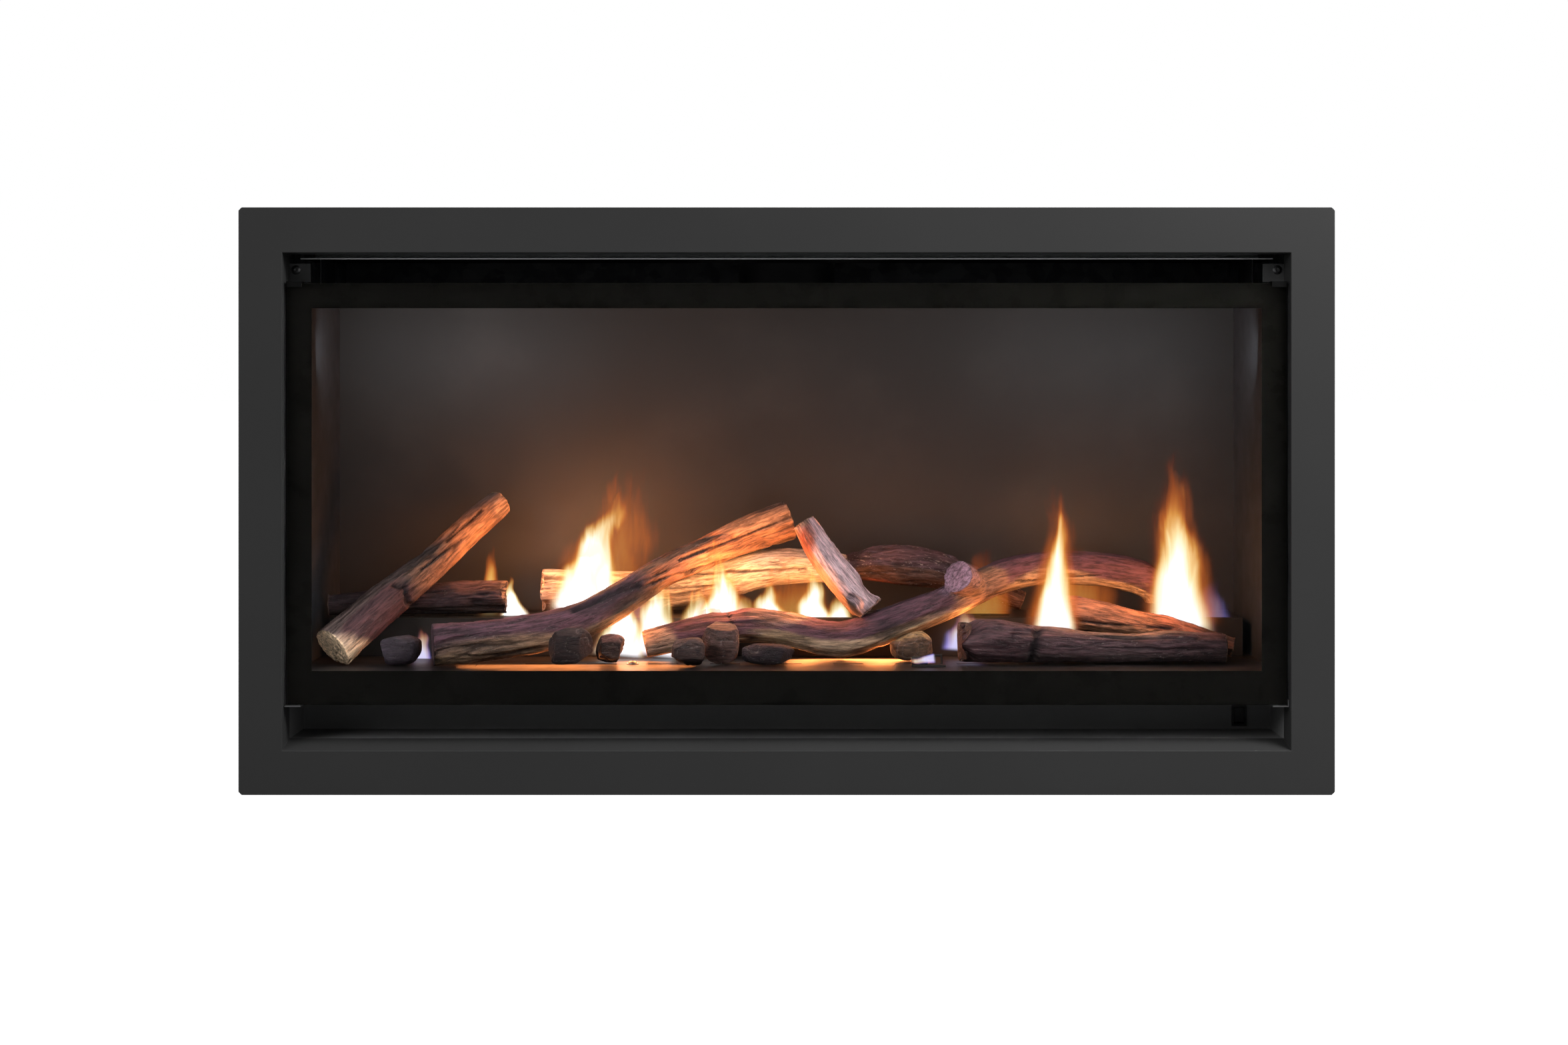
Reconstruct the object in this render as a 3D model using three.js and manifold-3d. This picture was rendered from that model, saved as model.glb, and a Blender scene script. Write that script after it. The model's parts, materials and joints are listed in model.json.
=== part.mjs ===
// Built-in gas log fire: a steel fascia round a lift-off glass door, a fire bed with ceramic logs,
// and the casing behind them with its burners, gas valve, fan and flue collars.
// Millimetres. X runs right, Y runs back from the fascia's face, Z runs up from its bottom edge.
import * as THREE from 'three';
import { mergeVertices } from 'three/addons/utils/BufferGeometryUtils.js';
import Module from 'manifold-3d';

const wasm = await Module();
wasm.setup();

// Clearances and drawing steps that all pieces share
const seat = 0.3;
const slip = 0.6;
const through = 3;
const facets = 24;
const snapsPerMm = 1024;

// Fascia
const fasciaWidth = 1050;
const fasciaHeight = 563;
const fasciaSheet = 2;
const sideBorder = 42;
const bottomBorder = 42.5;
const topBorder = 43.5;
const outerReturn = 12;
const innerReturn = 33;
const sillRise = 7;
const cornerClip = 3;
const footGap = 1;
const openRight = fasciaWidth / 2 - sideBorder;
const openBottom = bottomBorder;
const openTop = fasciaHeight - topBorder;

// Glass door
const glassSetback = 8;
const glassThickness = 5;
const glassSideGap = 2;
const glassTopGap = 28.8;
const glassBottomGap = 42.8;
const enamelSide = 23.5;
const enamelTop = 24;
const enamelBottom = 32;
const enamelThickness = 0.5;
const carrierSheet = 1.5;
const carrierInset = 2;
const carrierDepth = 16;
const carrierReveal = 4;
const gasketWidth = 8;
const gasketDepth = 10;
const gasketInset = 8.5;
const gasketChamfer = 2;
const clipWidth = 14.5;
const clipSheet = 1.5;
const clipLap = 4;
const clipSideInset = 0.5;
const clipReach = 14;
const ledgeWidth = 15.5;
const ledgeSheet = 1.5;
const ledgeLip = 3;
const ledgeSideOut = 1;
const tabHeight = 5;
const tabSheet = 1.1;
const glassRight = openRight - glassSideGap;
const glassBottom = openBottom + glassBottomGap;
const glassTop = openTop - glassTopGap;
const glassBack = glassSetback + glassThickness;
const windowRight = glassRight - enamelSide;
const windowBottom = glassBottom + enamelBottom;
const windowTop = glassTop - enamelTop;
const enamelFront = glassBack + seat;
const carrierFront = enamelFront + enamelThickness + seat;
const carrierBack = carrierFront + carrierDepth;
const gasketFront = carrierFront + carrierSheet + seat;
const rimFront = gasketFront + gasketDepth + seat;

// Fire chamber
const chamberFront = 40;
const chamberSheet = 1.5;
const overallDepth = 400;
const channelDepth = 130;
const bedSideInset = 3;
const chamberDrop = 8.7;
const linerThickness = 6;
const floorPlateSheet = 2;
const mouthSideReveal = 8.5;
const mouthTopReveal = 4.3;
const facePlateTopLap = 0.8;
const facePlateDrop = 4.8;
const floorBelowWindow = 5.3;
const doorRestWidth = 40;
const doorRestInset = 61;
const doorRestSheet = 3;
const doorRestReach = 16;
const floorTop = windowBottom - floorBelowWindow;
const chamberTop = glassTop - chamberDrop;
const bedWidth = (openRight - bedSideInset) * 2;
const bedFront = chamberFront + chamberSheet + seat;
const bedBack = overallDepth - channelDepth;
const bedDepth = bedBack - bedFront;
const shellRight = bedWidth / 2 + linerThickness + seat;
const shellBack = bedBack + linerThickness + seat;
const shellFloor = floorTop - floorPlateSheet - seat;
const shellUnder = shellFloor - chamberSheet;
const facePlateTop = glassTop + facePlateTopLap;
const facePlateBottom = glassBottom - facePlateDrop;

// Casing
const casingSideInset = 25;
const casingRise = 20;
const casingSheet = 1.5;
const flangeSideLap = 15;
const flangeEndLap = 10;
const sleeveDepth = 26;
const upstandWidth = 90;
const upstandInset = 30;
const upstandBehind = 20;
const railWidth = 40;
const railSheet = 2;
const railInset = 80;
const railFrontInset = 30;
const railBackInset = 10;
const casingRight = fasciaWidth / 2 - casingSideInset;
const casingBottom = casingRise;
const casingTop = fasciaHeight - casingRise;
const innerRight = casingRight - casingSheet;
const casingFloor = casingBottom + casingSheet;
const lidBottom = casingTop + seat;

// Air ways
const trayFlare = 0.4;
const trayStep = 1;
const traySetback = 7;
const traySheet = 1.5;
const inletSlots = 12;
const inletSlotWidth = 50;
const inletSlotHeight = 6;
const inletEndInset = 51;
const inletSlotRise = 26;
const deflectorSheet = 1.3;
const deflectorGap = 24.3;
const deflectorInset = 9;
const deflectorDepthShare = 0.3068;
const deflectorEndInset = 28;
const bracketSheet = 1.5;
const bracketRise = 2.3;
const bracketHeight = 18;
const bracketShow = 18.5;
const bracketSetback = 2;
const bracketLeg = 30;

// Burners and pilot
const burnerPlaceShare = 0.553;
const burnerDepthShare = 0.3593;
const burnerHeight = 40;
const burnerEndInset = 10;
const burnerSheet = 1.5;
const portCount = 14;
const portLength = 30;
const portWidth = 4;
const portEndInset = 46;
const portRowShares = [0.3, 0.75];
const deckWidth = 620;
const deckPlaceShare = 0.2112;
const deckDepthShare = 0.1753;
const deckEndLip = 10;
const deckPortInset = 31;
const panInset = 5;
const panDrop = 24;
const deckPortCount = 9;
const riserPlaceShare = 0.0625;
const riserRadius = 10;
const riserTop = 18;
const mixerRadius = 12;
const mixerWall = 1.5;
const mixerPlaceShare = 0.53;
const mixerRise = 72;
const mixerReachShare = 0.125;
const pilotAcrossShare = 0.1469;
const pilotPlaceShare = 0.2025;
const pilotWidth = 34;
const pilotDepth = 12;
const pilotPlate = 2;
const pilotHoodRadius = 4;
const pilotHoodLength = 16;
const electrodeRadius = 1.2;
const electrodeHeight = 12;
const burnerFront = bedFront + bedDepth * burnerPlaceShare;
const burnerDepth = bedDepth * burnerDepthShare;
const portPitch = (bedWidth - portEndInset * 2) / portCount;
const deckFront = bedFront + bedDepth * deckPlaceShare;
const deckDepth = bedDepth * deckDepthShare;
const panWidth = deckWidth - deckEndLip * 2;
const deckPortPitch = (deckWidth - deckPortInset * 2) / deckPortCount;
const mixerY = bedFront + bedDepth * mixerPlaceShare;
const riserOffset = bedWidth * riserPlaceShare;
const mixerReach = bedWidth * mixerReachShare;
const pilotOffset = bedWidth * pilotAcrossShare;
const trayBack = deckFront + traySetback;
const inletSlotPitch = (openRight - inletEndInset) * 2 / inletSlots;
const deflectorDepth = bedDepth * deflectorDepthShare;

// Gas train
const shutterWall = 2;
const shutterWidth = 20;
const shutterSetIn = 10;
const airWindowWidth = 10;
const airWindowHeight = 14;
const injectorRadius = 9.9;
const injectorLength = 5;
const pipeRadius = 5;
const pipeBoreRadius = 3.5;
const valvePlaceShare = 0.54;
const valveWidth = 95;
const valveDepthShare = 0.263;
const valveHeight = 58;
const valveFootWidth = 55;
const valveFootDepth = 40;
const valveCapRadius = 20;
const valveCapHeight = 3;
const inletBossRadius = 11;
const inletBossLength = 7;
const spindleRadius = 4;
const spindleLength = 14;
const knobRadius = 14;
const knobLength = 16;
const knobFlutes = 12;
const knobFluteDepth = 1.2;
const knobGap = 4;
const knobWall = 4;
const pointerWidth = 3;
const pointerHeight = 1.5;
const cockRadius = 8;
const cockHexRadius = 13;
const cockHexLength = 35;
const cockHexGap = 42;
const cockProud = 14;
const stemRadius = 4;
const stemTop = 22;
const leverHub = 8;
const leverLength = 50;
const leverWidth = 10;
const leverSheet = 4;
const valveDepth = bedDepth * valveDepthShare;

// Fan
const fanInset = 60;
const fanRise = 66;
const fanRadius = 25;
const fanLength = 460;
const fanBlades = 16;
const fanBladeDepth = 7;
const fanBladeSheet = 1.2;
const fanDisc = 1.5;
const fanShaftRadius = 4;
const fanGap = 6;
const fanSheet = 1.5;
const fanEndGap = 8;
const fanCheekReach = 35;
const motorRadius = 26;
const motorLength = 48;
const motorGap = 10;
const motorFootWidth = 30;
const motorFootDepth = 40;
const motorBearingDepth = 14;
const fanY = overallDepth - fanInset;

// Flue and relief flaps
const flueOuterRadius = 75;
const flueInnerRadius = 50;
const flueWall = 1.5;
const flueFlange = 12;
const flueRise = 26.5;
const flueDrop = 6;
const flapPlaceShares = [0.3125, 0.3427];
const flapDepthShare = 0.2717;
const flapWidth = 120;
const flapSheet = 1.5;
const flapLap = 10;
const flapPinRadius = 1.5;
const flapBarrelWall = 1.2;
const flapEarWidth = 2;
const flueY = overallDepth / 2;
const flapOffset = bedWidth * flapPlaceShares[0];
const flapFront = bedFront + bedDepth * flapPlaceShares[1];
const flapDepth = bedDepth * flapDepthShare;

// Electrics
const boxWidth = 100;
const boxDepth = 70;
const boxHeight = 38;
const boxSideInset = 80;
const boxSetback = 33;
const boxLidLap = 3;
const boxLidHeight = 4;
const switchInset = 31;
const switchRise = 62;
const switchWidth = 15;
const switchHeight = 21;
const switchLip = 1.3;
const switchWall = 1;
const switchDeep = 20;
const rockerHalf = 7;
const rockerReach = 8;
const rockerBack = 5;
const rockerTilt = 6;
const rockerPin = 1.5;
const glandInset = 100;
const glandRise = 60;
const glandRadius = 8;
const glandBoreRadius = 4;
const glandNutRadius = 11;
const glandProud = 9;
const glandY = overallDepth - glandInset;

// Logs: each row of a log's places is [across, back, up, radius] along its middle line.
// Across is a share of the bed's width, back a share of its depth, up and radius shares of the girth.
const girth = 50;
const logSides = 12;
const barkShare = 0.06;
const leftLog = {
  base: floorTop,
  seed: 1,
  rings: 14,
  placeShares: [
    [-0.472, 0.202, 0.36, 0.48],
    [-0.430, 0.378, 1.11, 0.45],
    [-0.386, 0.553, 1.83, 0.39],
    [-0.341, 0.733, 2.68, 0.35],
    [-0.315, 0.833, 3.13, 0.32],
  ],
};
const backLeftLog = {
  base: floorTop + burnerHeight,
  seed: 2,
  rings: 12,
  placeShares: [
    [-0.494, 0.579, 0.26, 0.26],
    [-0.446, 0.606, 0.30, 0.31],
    [-0.389, 0.632, 0.36, 0.37],
    [-0.339, 0.649, 0.40, 0.41],
    [-0.301, 0.658, 0.39, 0.40],
  ],
};
const mainLog = {
  base: floorTop,
  seed: 3,
  rings: 22,
  placeShares: [
    [-0.367, 0.176, 0.45, 0.46],
    [-0.319, 0.220, 0.49, 0.45],
    [-0.265, 0.281, 0.61, 0.44],
    [-0.217, 0.343, 0.83, 0.41],
    [-0.176, 0.404, 1.24, 0.38],
    [-0.135, 0.474, 1.74, 0.36],
    [-0.093, 0.566, 2.10, 0.37],
    [-0.050, 0.628, 2.44, 0.41],
    [-0.014, 0.671, 2.67, 0.45],
    [0.003, 0.689, 2.78, 0.46],
  ],
};
const forkedLog = {
  base: floorTop,
  seed: 4,
  rings: 32,
  placeShares: [
    [-0.151, 0.430, 0.31, 0.30],
    [-0.106, 0.443, 0.51, 0.34],
    [-0.057, 0.456, 0.67, 0.37],
    [-0.014, 0.456, 0.67, 0.37],
    [0.021, 0.456, 0.52, 0.38],
    [0.058, 0.456, 0.39, 0.40],
    [0.094, 0.465, 0.59, 0.41],
    [0.129, 0.474, 0.84, 0.40],
    [0.165, 0.500, 1.08, 0.37],
    [0.200, 0.544, 1.36, 0.36],
    [0.230, 0.588, 1.62, 0.37],
    [0.265, 0.623, 1.76, 0.37],
    [0.303, 0.640, 1.79, 0.38],
    [0.343, 0.649, 1.74, 0.38],
    [0.379, 0.649, 1.60, 0.39],
    [0.401, 0.649, 1.32, 0.36],
    [0.403, 0.649, 1.08, 0.31],
  ],
};
const forkedLogStub = {
  base: floorTop,
  seed: 5,
  rings: 5,
  placeShares: [
    [0.214, 0.580, 1.35, 0.28],
    [0.196, 0.500, 1.53, 0.35],
    [0.180, 0.430, 1.71, 0.37],
  ],
};
const propLog = {
  base: floorTop,
  seed: 6,
  rings: 10,
  placeShares: [
    [0.018, 0.561, 2.77, 0.28],
    [0.037, 0.526, 2.17, 0.34],
    [0.063, 0.482, 1.53, 0.37],
    [0.089, 0.456, 0.99, 0.38],
  ],
};
const charredLog = {
  base: floorTop + burnerHeight,
  seed: 7,
  rings: 14,
  placeShares: [
    [0.060, 0.789, 0.94, 0.28],
    [0.095, 0.798, 1.02, 0.42],
    [0.128, 0.803, 1.00, 0.49],
    [0.161, 0.803, 0.92, 0.45],
    [0.198, 0.798, 0.71, 0.38],
    [0.234, 0.789, 0.43, 0.30],
    [0.260, 0.781, 0.24, 0.25],
  ],
};
const backLog = {
  base: floorTop + burnerHeight,
  seed: 8,
  rings: 16,
  placeShares: [
    [-0.268, 0.746, 0.49, 0.50],
    [-0.204, 0.746, 0.47, 0.48],
    [-0.131, 0.737, 0.52, 0.46],
    [-0.073, 0.711, 0.72, 0.44],
    [-0.022, 0.693, 0.98, 0.42],
    [0.025, 0.711, 1.02, 0.40],
    [0.064, 0.733, 0.95, 0.34],
  ],
};
const frontRightLog = {
  base: floorTop,
  seed: 9,
  rings: 16,
  placeShares: [
    [0.178, 0.263, 0.48, 0.47],
    [0.216, 0.263, 0.48, 0.50],
    [0.254, 0.268, 0.43, 0.43],
    [0.292, 0.272, 0.39, 0.39],
    [0.348, 0.276, 0.37, 0.39],
    [0.404, 0.281, 0.35, 0.38],
    [0.459, 0.289, 0.32, 0.34],
  ],
};
const midRightLog = {
  base: floorTop,
  seed: 10,
  rings: 14,
  placeShares: [
    [0.270, 0.483, 0.91, 0.37],
    [0.302, 0.483, 0.95, 0.38],
    [0.364, 0.457, 0.74, 0.34],
    [0.410, 0.439, 0.58, 0.32],
    [0.441, 0.422, 0.41, 0.28],
    [0.473, 0.404, 0.26, 0.24],
  ],
};

// Embers: places are shares of the bed, sizes [across, back, up] are shares of the nominal ember.
const emberSize = 40;
const emberDetail = 2;
const emberSquareShare = 0.72;
const emberRoughShare = 0.07;
const embers = [
  { placeShares: [-0.402, 0.241], sizeShares: [1.08, 0.80, 0.80], turn: 0.15 },
  { placeShares: [-0.224, 0.160], sizeShares: [1.16, 0.60, 1.03], turn: -0.1 },
  { placeShares: [-0.185, 0.330], sizeShares: [0.79, 0.70, 0.74], turn: 0.35 },
  { placeShares: [-0.101, 0.184], sizeShares: [0.92, 0.80, 0.76], turn: 0.1 },
  { placeShares: [-0.068, 0.278], sizeShares: [0.96, 0.62, 1.14], turn: -0.12 },
  { placeShares: [-0.019, 0.235], sizeShares: [1.46, 0.52, 0.56], turn: -0.08 },
  { placeShares: [0.134, 0.400], sizeShares: [1.24, 0.70, 0.78], turn: 0.2 },
];

// Finishes
const charcoalPaint = new THREE.MeshStandardMaterial({ color: 0x3a3b3c, roughness: 0.45, metalness: 0.3 });
const blackSteel = new THREE.MeshStandardMaterial({ color: 0x17171a, roughness: 0.5, metalness: 0.4 });
const chamberBlack = new THREE.MeshStandardMaterial({ color: 0x2a2624, roughness: 0.75, metalness: 0.1 });
const satinFloor = new THREE.MeshStandardMaterial({ color: 0x1b1a1c, roughness: 0.25, metalness: 0.6 });
const galvanised = new THREE.MeshStandardMaterial({ color: 0x9a9c9e, roughness: 0.45, metalness: 0.8 });
const brightSteel = new THREE.MeshStandardMaterial({ color: 0xc8c9cb, roughness: 0.25, metalness: 1 });
const clearGlass = new THREE.MeshStandardMaterial({
  color: 0xdfe6e4, roughness: 0.05, metalness: 0, transparent: true, opacity: 0.25,
});
const blackEnamel = new THREE.MeshStandardMaterial({ color: 0x121110, roughness: 0.2, metalness: 0 });
const glassRope = new THREE.MeshStandardMaterial({ color: 0x35332f, roughness: 0.95, metalness: 0 });
const bark = new THREE.MeshStandardMaterial({ color: 0x5d4a48, roughness: 0.9, metalness: 0 });
const charredBark = new THREE.MeshStandardMaterial({ color: 0x2c2a2f, roughness: 0.9, metalness: 0 });
const coal = new THREE.MeshStandardMaterial({ color: 0x26252b, roughness: 0.9, metalness: 0 });
const brass = new THREE.MeshStandardMaterial({ color: 0xb08d4a, roughness: 0.35, metalness: 1 });
const blackPlastic = new THREE.MeshStandardMaterial({ color: 0x111112, roughness: 0.45, metalness: 0 });

const fireplace = new THREE.Group();
fireplace.position.set(0, -overallDepth / 2, footGap);

// Makes a named piece and hangs it in its group.
function piece(name, geometry, material, group = fireplace) {
  const mesh = new THREE.Mesh(geometry, material);
  mesh.name = name;
  group.add(mesh);
  return mesh;
}

// A group at a pivot, for a piece that turns about it.
function pivot(x, y, z) {
  const group = new THREE.Group();
  group.position.set(x, y, z);
  fireplace.add(group);
  return group;
}

// Boolean work. Corners are snapped to a fine grid first, so that faces meant to be level are level.
function solid(geometry) {
  const bare = geometry.clone();
  bare.deleteAttribute('normal');
  bare.deleteAttribute('uv');
  const merged = mergeVertices(bare);
  const mesh = new wasm.Mesh({
    numProp: 3,
    vertProperties: merged.attributes.position.array.map((c) => Math.round(c * snapsPerMm) / snapsPerMm),
    triVerts: Uint32Array.from(merged.index.array),
  });
  return new wasm.Manifold(mesh);
}

function skin(body) {
  const mesh = body.getMesh();
  const geometry = new THREE.BufferGeometry();
  geometry.setAttribute('position', new THREE.BufferAttribute(mesh.vertProperties, 3));
  geometry.setIndex(new THREE.BufferAttribute(mesh.triVerts, 1));
  geometry.computeVertexNormals();
  return geometry;
}

function join(...geometries) {
  return skin(geometries.map(solid).reduce((whole, next) => whole.add(next)));
}

function cut(geometry, ...tools) {
  return skin(tools.map(solid).reduce((rest, tool) => rest.subtract(tool), solid(geometry)));
}

// A box between two values on each axis.
function block([left, right], [front, back], [bottom, top]) {
  const box = new THREE.BoxGeometry(right - left, back - front, top - bottom);
  return box.translate((left + right) / 2, (front + back) / 2, (bottom + top) / 2);
}

function outline(points) {
  return new THREE.Shape(points.map(([u, v]) => new THREE.Vector2(u, v)));
}

function rectangle([left, right, bottom, top]) {
  return outline([[left, bottom], [right, bottom], [right, top], [left, top]]);
}

// A rectangle with its corners cut off.
function clipped([left, right, bottom, top], clip) {
  return outline([
    [left + clip, bottom], [right - clip, bottom], [right, bottom + clip], [right, top - clip],
    [right - clip, top], [left + clip, top], [left, top - clip], [left, bottom + clip],
  ]);
}

// Extrudes a shape drawn in X and Z back along Y.
function deep(shape, front, depth) {
  const body = new THREE.ExtrudeGeometry(shape, { depth, bevelEnabled: false });
  body.rotateX(Math.PI / 2);
  return body.translate(0, front + depth, 0);
}

// Extrudes a shape drawn in Y and Z to the right along X.
function wide(shape, left, width) {
  const body = new THREE.ExtrudeGeometry(shape, { depth: width, bevelEnabled: false });
  const turn = new THREE.Matrix4().makeBasis(
    new THREE.Vector3(0, 1, 0), new THREE.Vector3(0, 0, 1), new THREE.Vector3(1, 0, 0),
  );
  return body.applyMatrix4(turn).translate(left, 0, 0);
}

// Extrudes a shape drawn in X and Y up along Z.
function tall(shape, bottom, height) {
  return new THREE.ExtrudeGeometry(shape, { depth: height, bevelEnabled: false }).translate(0, 0, bottom);
}

// A standing frame: an outline with a rectangular opening, both [left, right, bottom, top].
function frame(outer, inner, front, depth) {
  const shape = rectangle(outer);
  shape.holes.push(rectangle(inner));
  return deep(shape, front, depth);
}

function grown([left, right, bottom, top], by) {
  return [left - by, right + by, bottom - by, top + by];
}

// Round bars along each axis, placed by their ends and centre.
function barX(radius, from, to, y, z, sides = facets) {
  const bar = new THREE.CylinderGeometry(radius, radius, to - from, sides);
  return bar.rotateZ(Math.PI / 2).translate((from + to) / 2, y, z);
}

function barY(radius, x, from, to, z, sides = facets) {
  const bar = new THREE.CylinderGeometry(radius, radius, to - from, sides);
  return bar.translate(x, (from + to) / 2, z);
}

function barZ(radius, x, y, from, to, sides = facets) {
  const bar = new THREE.CylinderGeometry(radius, radius, to - from, sides);
  return bar.rotateX(Math.PI / 2).translate(x, y, (from + to) / 2);
}

// Evenly spaced places, centred on zero.
function spread(count, pitch) {
  return Array.from({ length: count }, (_, i) => (i - (count - 1) / 2) * pitch);
}

// Fascia: a shallow tray with clipped corners, and a tunnel back through it into the fire,
// whose bottom rises towards the back as a sill.
function fasciaFrame() {
  const right = fasciaWidth / 2;
  const whole = [-right, right, 0, fasciaHeight];
  const slope = sillRise / innerReturn;
  const inside = fasciaSheet / 2;
  const low = openBottom - fasciaSheet;
  const high = openTop + fasciaSheet;
  const tunnel = outline([
    [inside, low + slope * inside], [innerReturn, low + sillRise], [innerReturn, high], [inside, high],
  ]);
  const opening = outline([
    [-through, openBottom - slope * through], [innerReturn + through, openBottom + sillRise + slope * through],
    [innerReturn + through, openTop], [-through, openTop],
  ]);
  const tray = cut(
    deep(clipped(whole, cornerClip), 0, outerReturn),
    deep(clipped(grown(whole, -fasciaSheet), cornerClip - fasciaSheet / 2), fasciaSheet, outerReturn),
  );
  return cut(
    join(tray, wide(tunnel, -openRight - fasciaSheet, (openRight + fasciaSheet) * 2)),
    wide(opening, -openRight, openRight * 2),
  );
}

// Glass door
function glassPane() {
  return block([-glassRight, glassRight], [glassSetback, glassBack], [glassBottom, glassTop]);
}

function enamelBorder() {
  const pane = [-glassRight, glassRight, glassBottom, glassTop];
  return frame(pane, [-windowRight, windowRight, windowBottom, windowTop], enamelFront, enamelThickness);
}

function glassCarrier() {
  const [left, right, bottom, top] = grown([-glassRight, glassRight, glassBottom, glassTop], -carrierInset);
  const [openLeft, openRightEdge, low, high] = grown([-windowRight, windowRight, windowBottom, windowTop], carrierReveal);
  return cut(
    block([left, right], [carrierFront, carrierBack], [bottom, top]),
    block(
      [left + carrierSheet, right - carrierSheet], [carrierFront + carrierSheet, carrierBack + through],
      [bottom + carrierSheet, top - carrierSheet],
    ),
    block([openLeft, openRightEdge], [carrierFront - through, carrierBack], [low, high]),
  );
}

// Rope gasket: an eight-sided section led round the door's edge.
function ropeGasket() {
  const middle = grown([-glassRight, glassRight, glassBottom, glassTop], -gasketInset);
  const wideRing = [grown(middle, gasketWidth / 2), grown(middle, -gasketWidth / 2)];
  const slimRing = [grown(middle, gasketWidth / 2 - gasketChamfer), grown(middle, gasketChamfer - gasketWidth / 2)];
  return join(
    frame(wideRing[0], wideRing[1], gasketFront + gasketChamfer, gasketDepth - 2 * gasketChamfer),
    frame(slimRing[0], slimRing[1], gasketFront, gasketDepth),
  );
}

// Top clip: a strip folded over the pane's top edge onto the carrier.
function topClip(side) {
  const lip = glassSetback - seat;
  const top = glassTop + seat + clipSheet;
  const back = carrierFront + clipReach - carrierDepth / 2;
  const profile = outline([
    [lip - clipSheet, glassTop - clipLap], [lip, glassTop - clipLap], [lip, glassTop + seat],
    [back - clipSheet, glassTop + seat], [back - clipSheet, glassTop - carrierInset + seat],
    [back, glassTop - carrierInset + seat], [back, top], [lip - clipSheet, top],
  ]);
  const outer = glassRight - clipSideInset;
  return wide(profile, side > 0 ? outer - clipWidth : -outer, clipWidth);
}

// Bottom ledge: a strip under the pane's corner with a block up to the carrier.
function bottomLedge(side, tabbed) {
  const outer = glassRight + ledgeSideOut;
  const top = glassBottom - seat;
  const front = glassSetback - ledgeLip;
  const back = carrierBack - carrierSheet;
  const blockFront = glassBack + seat + ledgeLip;
  const blockTop = glassBottom + carrierInset - seat;
  const profile = outline([
    [front, top - ledgeSheet], [back, top - ledgeSheet], [back, blockTop],
    [blockFront, blockTop], [blockFront, top], [front, top],
  ]);
  const ledge = wide(profile, side > 0 ? outer - ledgeWidth : -outer, ledgeWidth);
  if (!tabbed) return ledge;
  const tab = side > 0
    ? [glassRight + seat, glassRight + seat + tabSheet] : [-glassRight - seat - tabSheet, -glassRight - seat];
  return join(ledge, block(tab, [front + seat, glassBack], [top - ledgeSheet / 2, glassBottom + tabHeight]));
}

// Fire chamber: a box with a face plate, a sealing rim, rests for the door and relief openings.
function fireboxShell() {
  const half = chamberSheet / 2;
  const inner = chamberFront + half;
  const plate = [-shellRight - half, shellRight + half, facePlateBottom, facePlateTop];
  const mouth = [
    -windowRight - mouthSideReveal, windowRight + mouthSideReveal, floorTop, windowTop + mouthTopReveal,
  ];
  const inside = [-shellRight, shellRight, shellFloor, chamberTop];
  const rim = grown([-glassRight, glassRight, glassBottom, glassTop], -gasketInset);
  const rests = [-1, 1].map((side) => {
    const middle = side * (glassRight - doorRestInset);
    const top = glassBottom + carrierInset - seat;
    return block(
      [middle - doorRestWidth / 2, middle + doorRestWidth / 2],
      [chamberFront - doorRestReach, inner], [top - doorRestSheet, top],
    );
  });
  const [left, right, bottom, top] = grown(inside, chamberSheet);
  const box = cut(
    block([left, right], [inner, shellBack + chamberSheet], [bottom, top]),
    block([-shellRight, shellRight], [chamberFront - through, shellBack], [shellFloor, chamberTop]),
  );
  const body = join(
    frame(plate, mouth, chamberFront, chamberSheet),
    box,
    frame(grown(rim, half), grown(rim, -half), rimFront, inner - rimFront),
    ...rests,
    ...[-flapOffset, flapOffset].flatMap(flapHinge),
  );
  const roof = [chamberTop - through, chamberTop + chamberSheet + through];
  const floor = [shellUnder - through, shellFloor + through];
  const flapOpen = flapWidth / 2 - flapLap;
  const flapHoles = [-flapOffset, flapOffset].map((x) => block(
    [x - flapOpen, x + flapOpen], [flapFront + flapLap, flapFront + flapDepth - flapLap], roof,
  ));
  return cut(
    body,
    barZ(flueInnerRadius - flueWall, 0, flueY, ...roof),
    barZ(riserRadius + slip, riserOffset, riserY(), ...floor),
    panBlock(slip, floor),
    ...flapHoles,
  );
}

// The rear riser stands under the middle of the raised burner.
function riserY() {
  return burnerFront + burnerDepth / 2;
}

function panBlock(by, height) {
  const front = deckFront + panInset;
  const back = deckFront + deckDepth - panInset;
  return block([-panWidth / 2 - by, panWidth / 2 + by], [front - by, back + by], height);
}

function liner(span, depth) {
  return block(span, depth, [floorTop + seat, chamberTop - seat]);
}

function floorPlate() {
  const span = [seat - shellRight, shellRight - seat];
  const height = [floorTop - floorPlateSheet, floorTop];
  const clear = [floorTop - floorPlateSheet - through, floorTop + through];
  return cut(
    block(span, [bedFront, shellBack - seat], height),
    block([-deckWidth / 2 - seat, deckWidth / 2 + seat], [deckFront - seat, deckFront + deckDepth + seat], clear),
    barZ(riserRadius + slip, riserOffset, riserY(), ...clear),
  );
}

// Raised burner: a pan turned upside down, with two rows of flame ports in its top.
function rearBurner() {
  const half = bedWidth / 2 - burnerEndInset;
  const base = floorTop + seat;
  const top = floorTop + burnerHeight;
  const back = burnerFront + burnerDepth;
  const ports = portRowShares.flatMap((share) => spread(portCount, portPitch).map((x) => {
    const y = burnerFront + burnerDepth * share;
    return block(
      [x - portLength / 2, x + portLength / 2], [y - portWidth / 2, y + portWidth / 2],
      [top - burnerSheet - through, top + through],
    );
  }));
  return cut(
    block([-half, half], [burnerFront, back], [base, top]),
    block(
      [burnerSheet - half, half - burnerSheet], [burnerFront + burnerSheet, back - burnerSheet],
      [base - through, top - burnerSheet],
    ),
    ...ports,
  );
}

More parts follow.
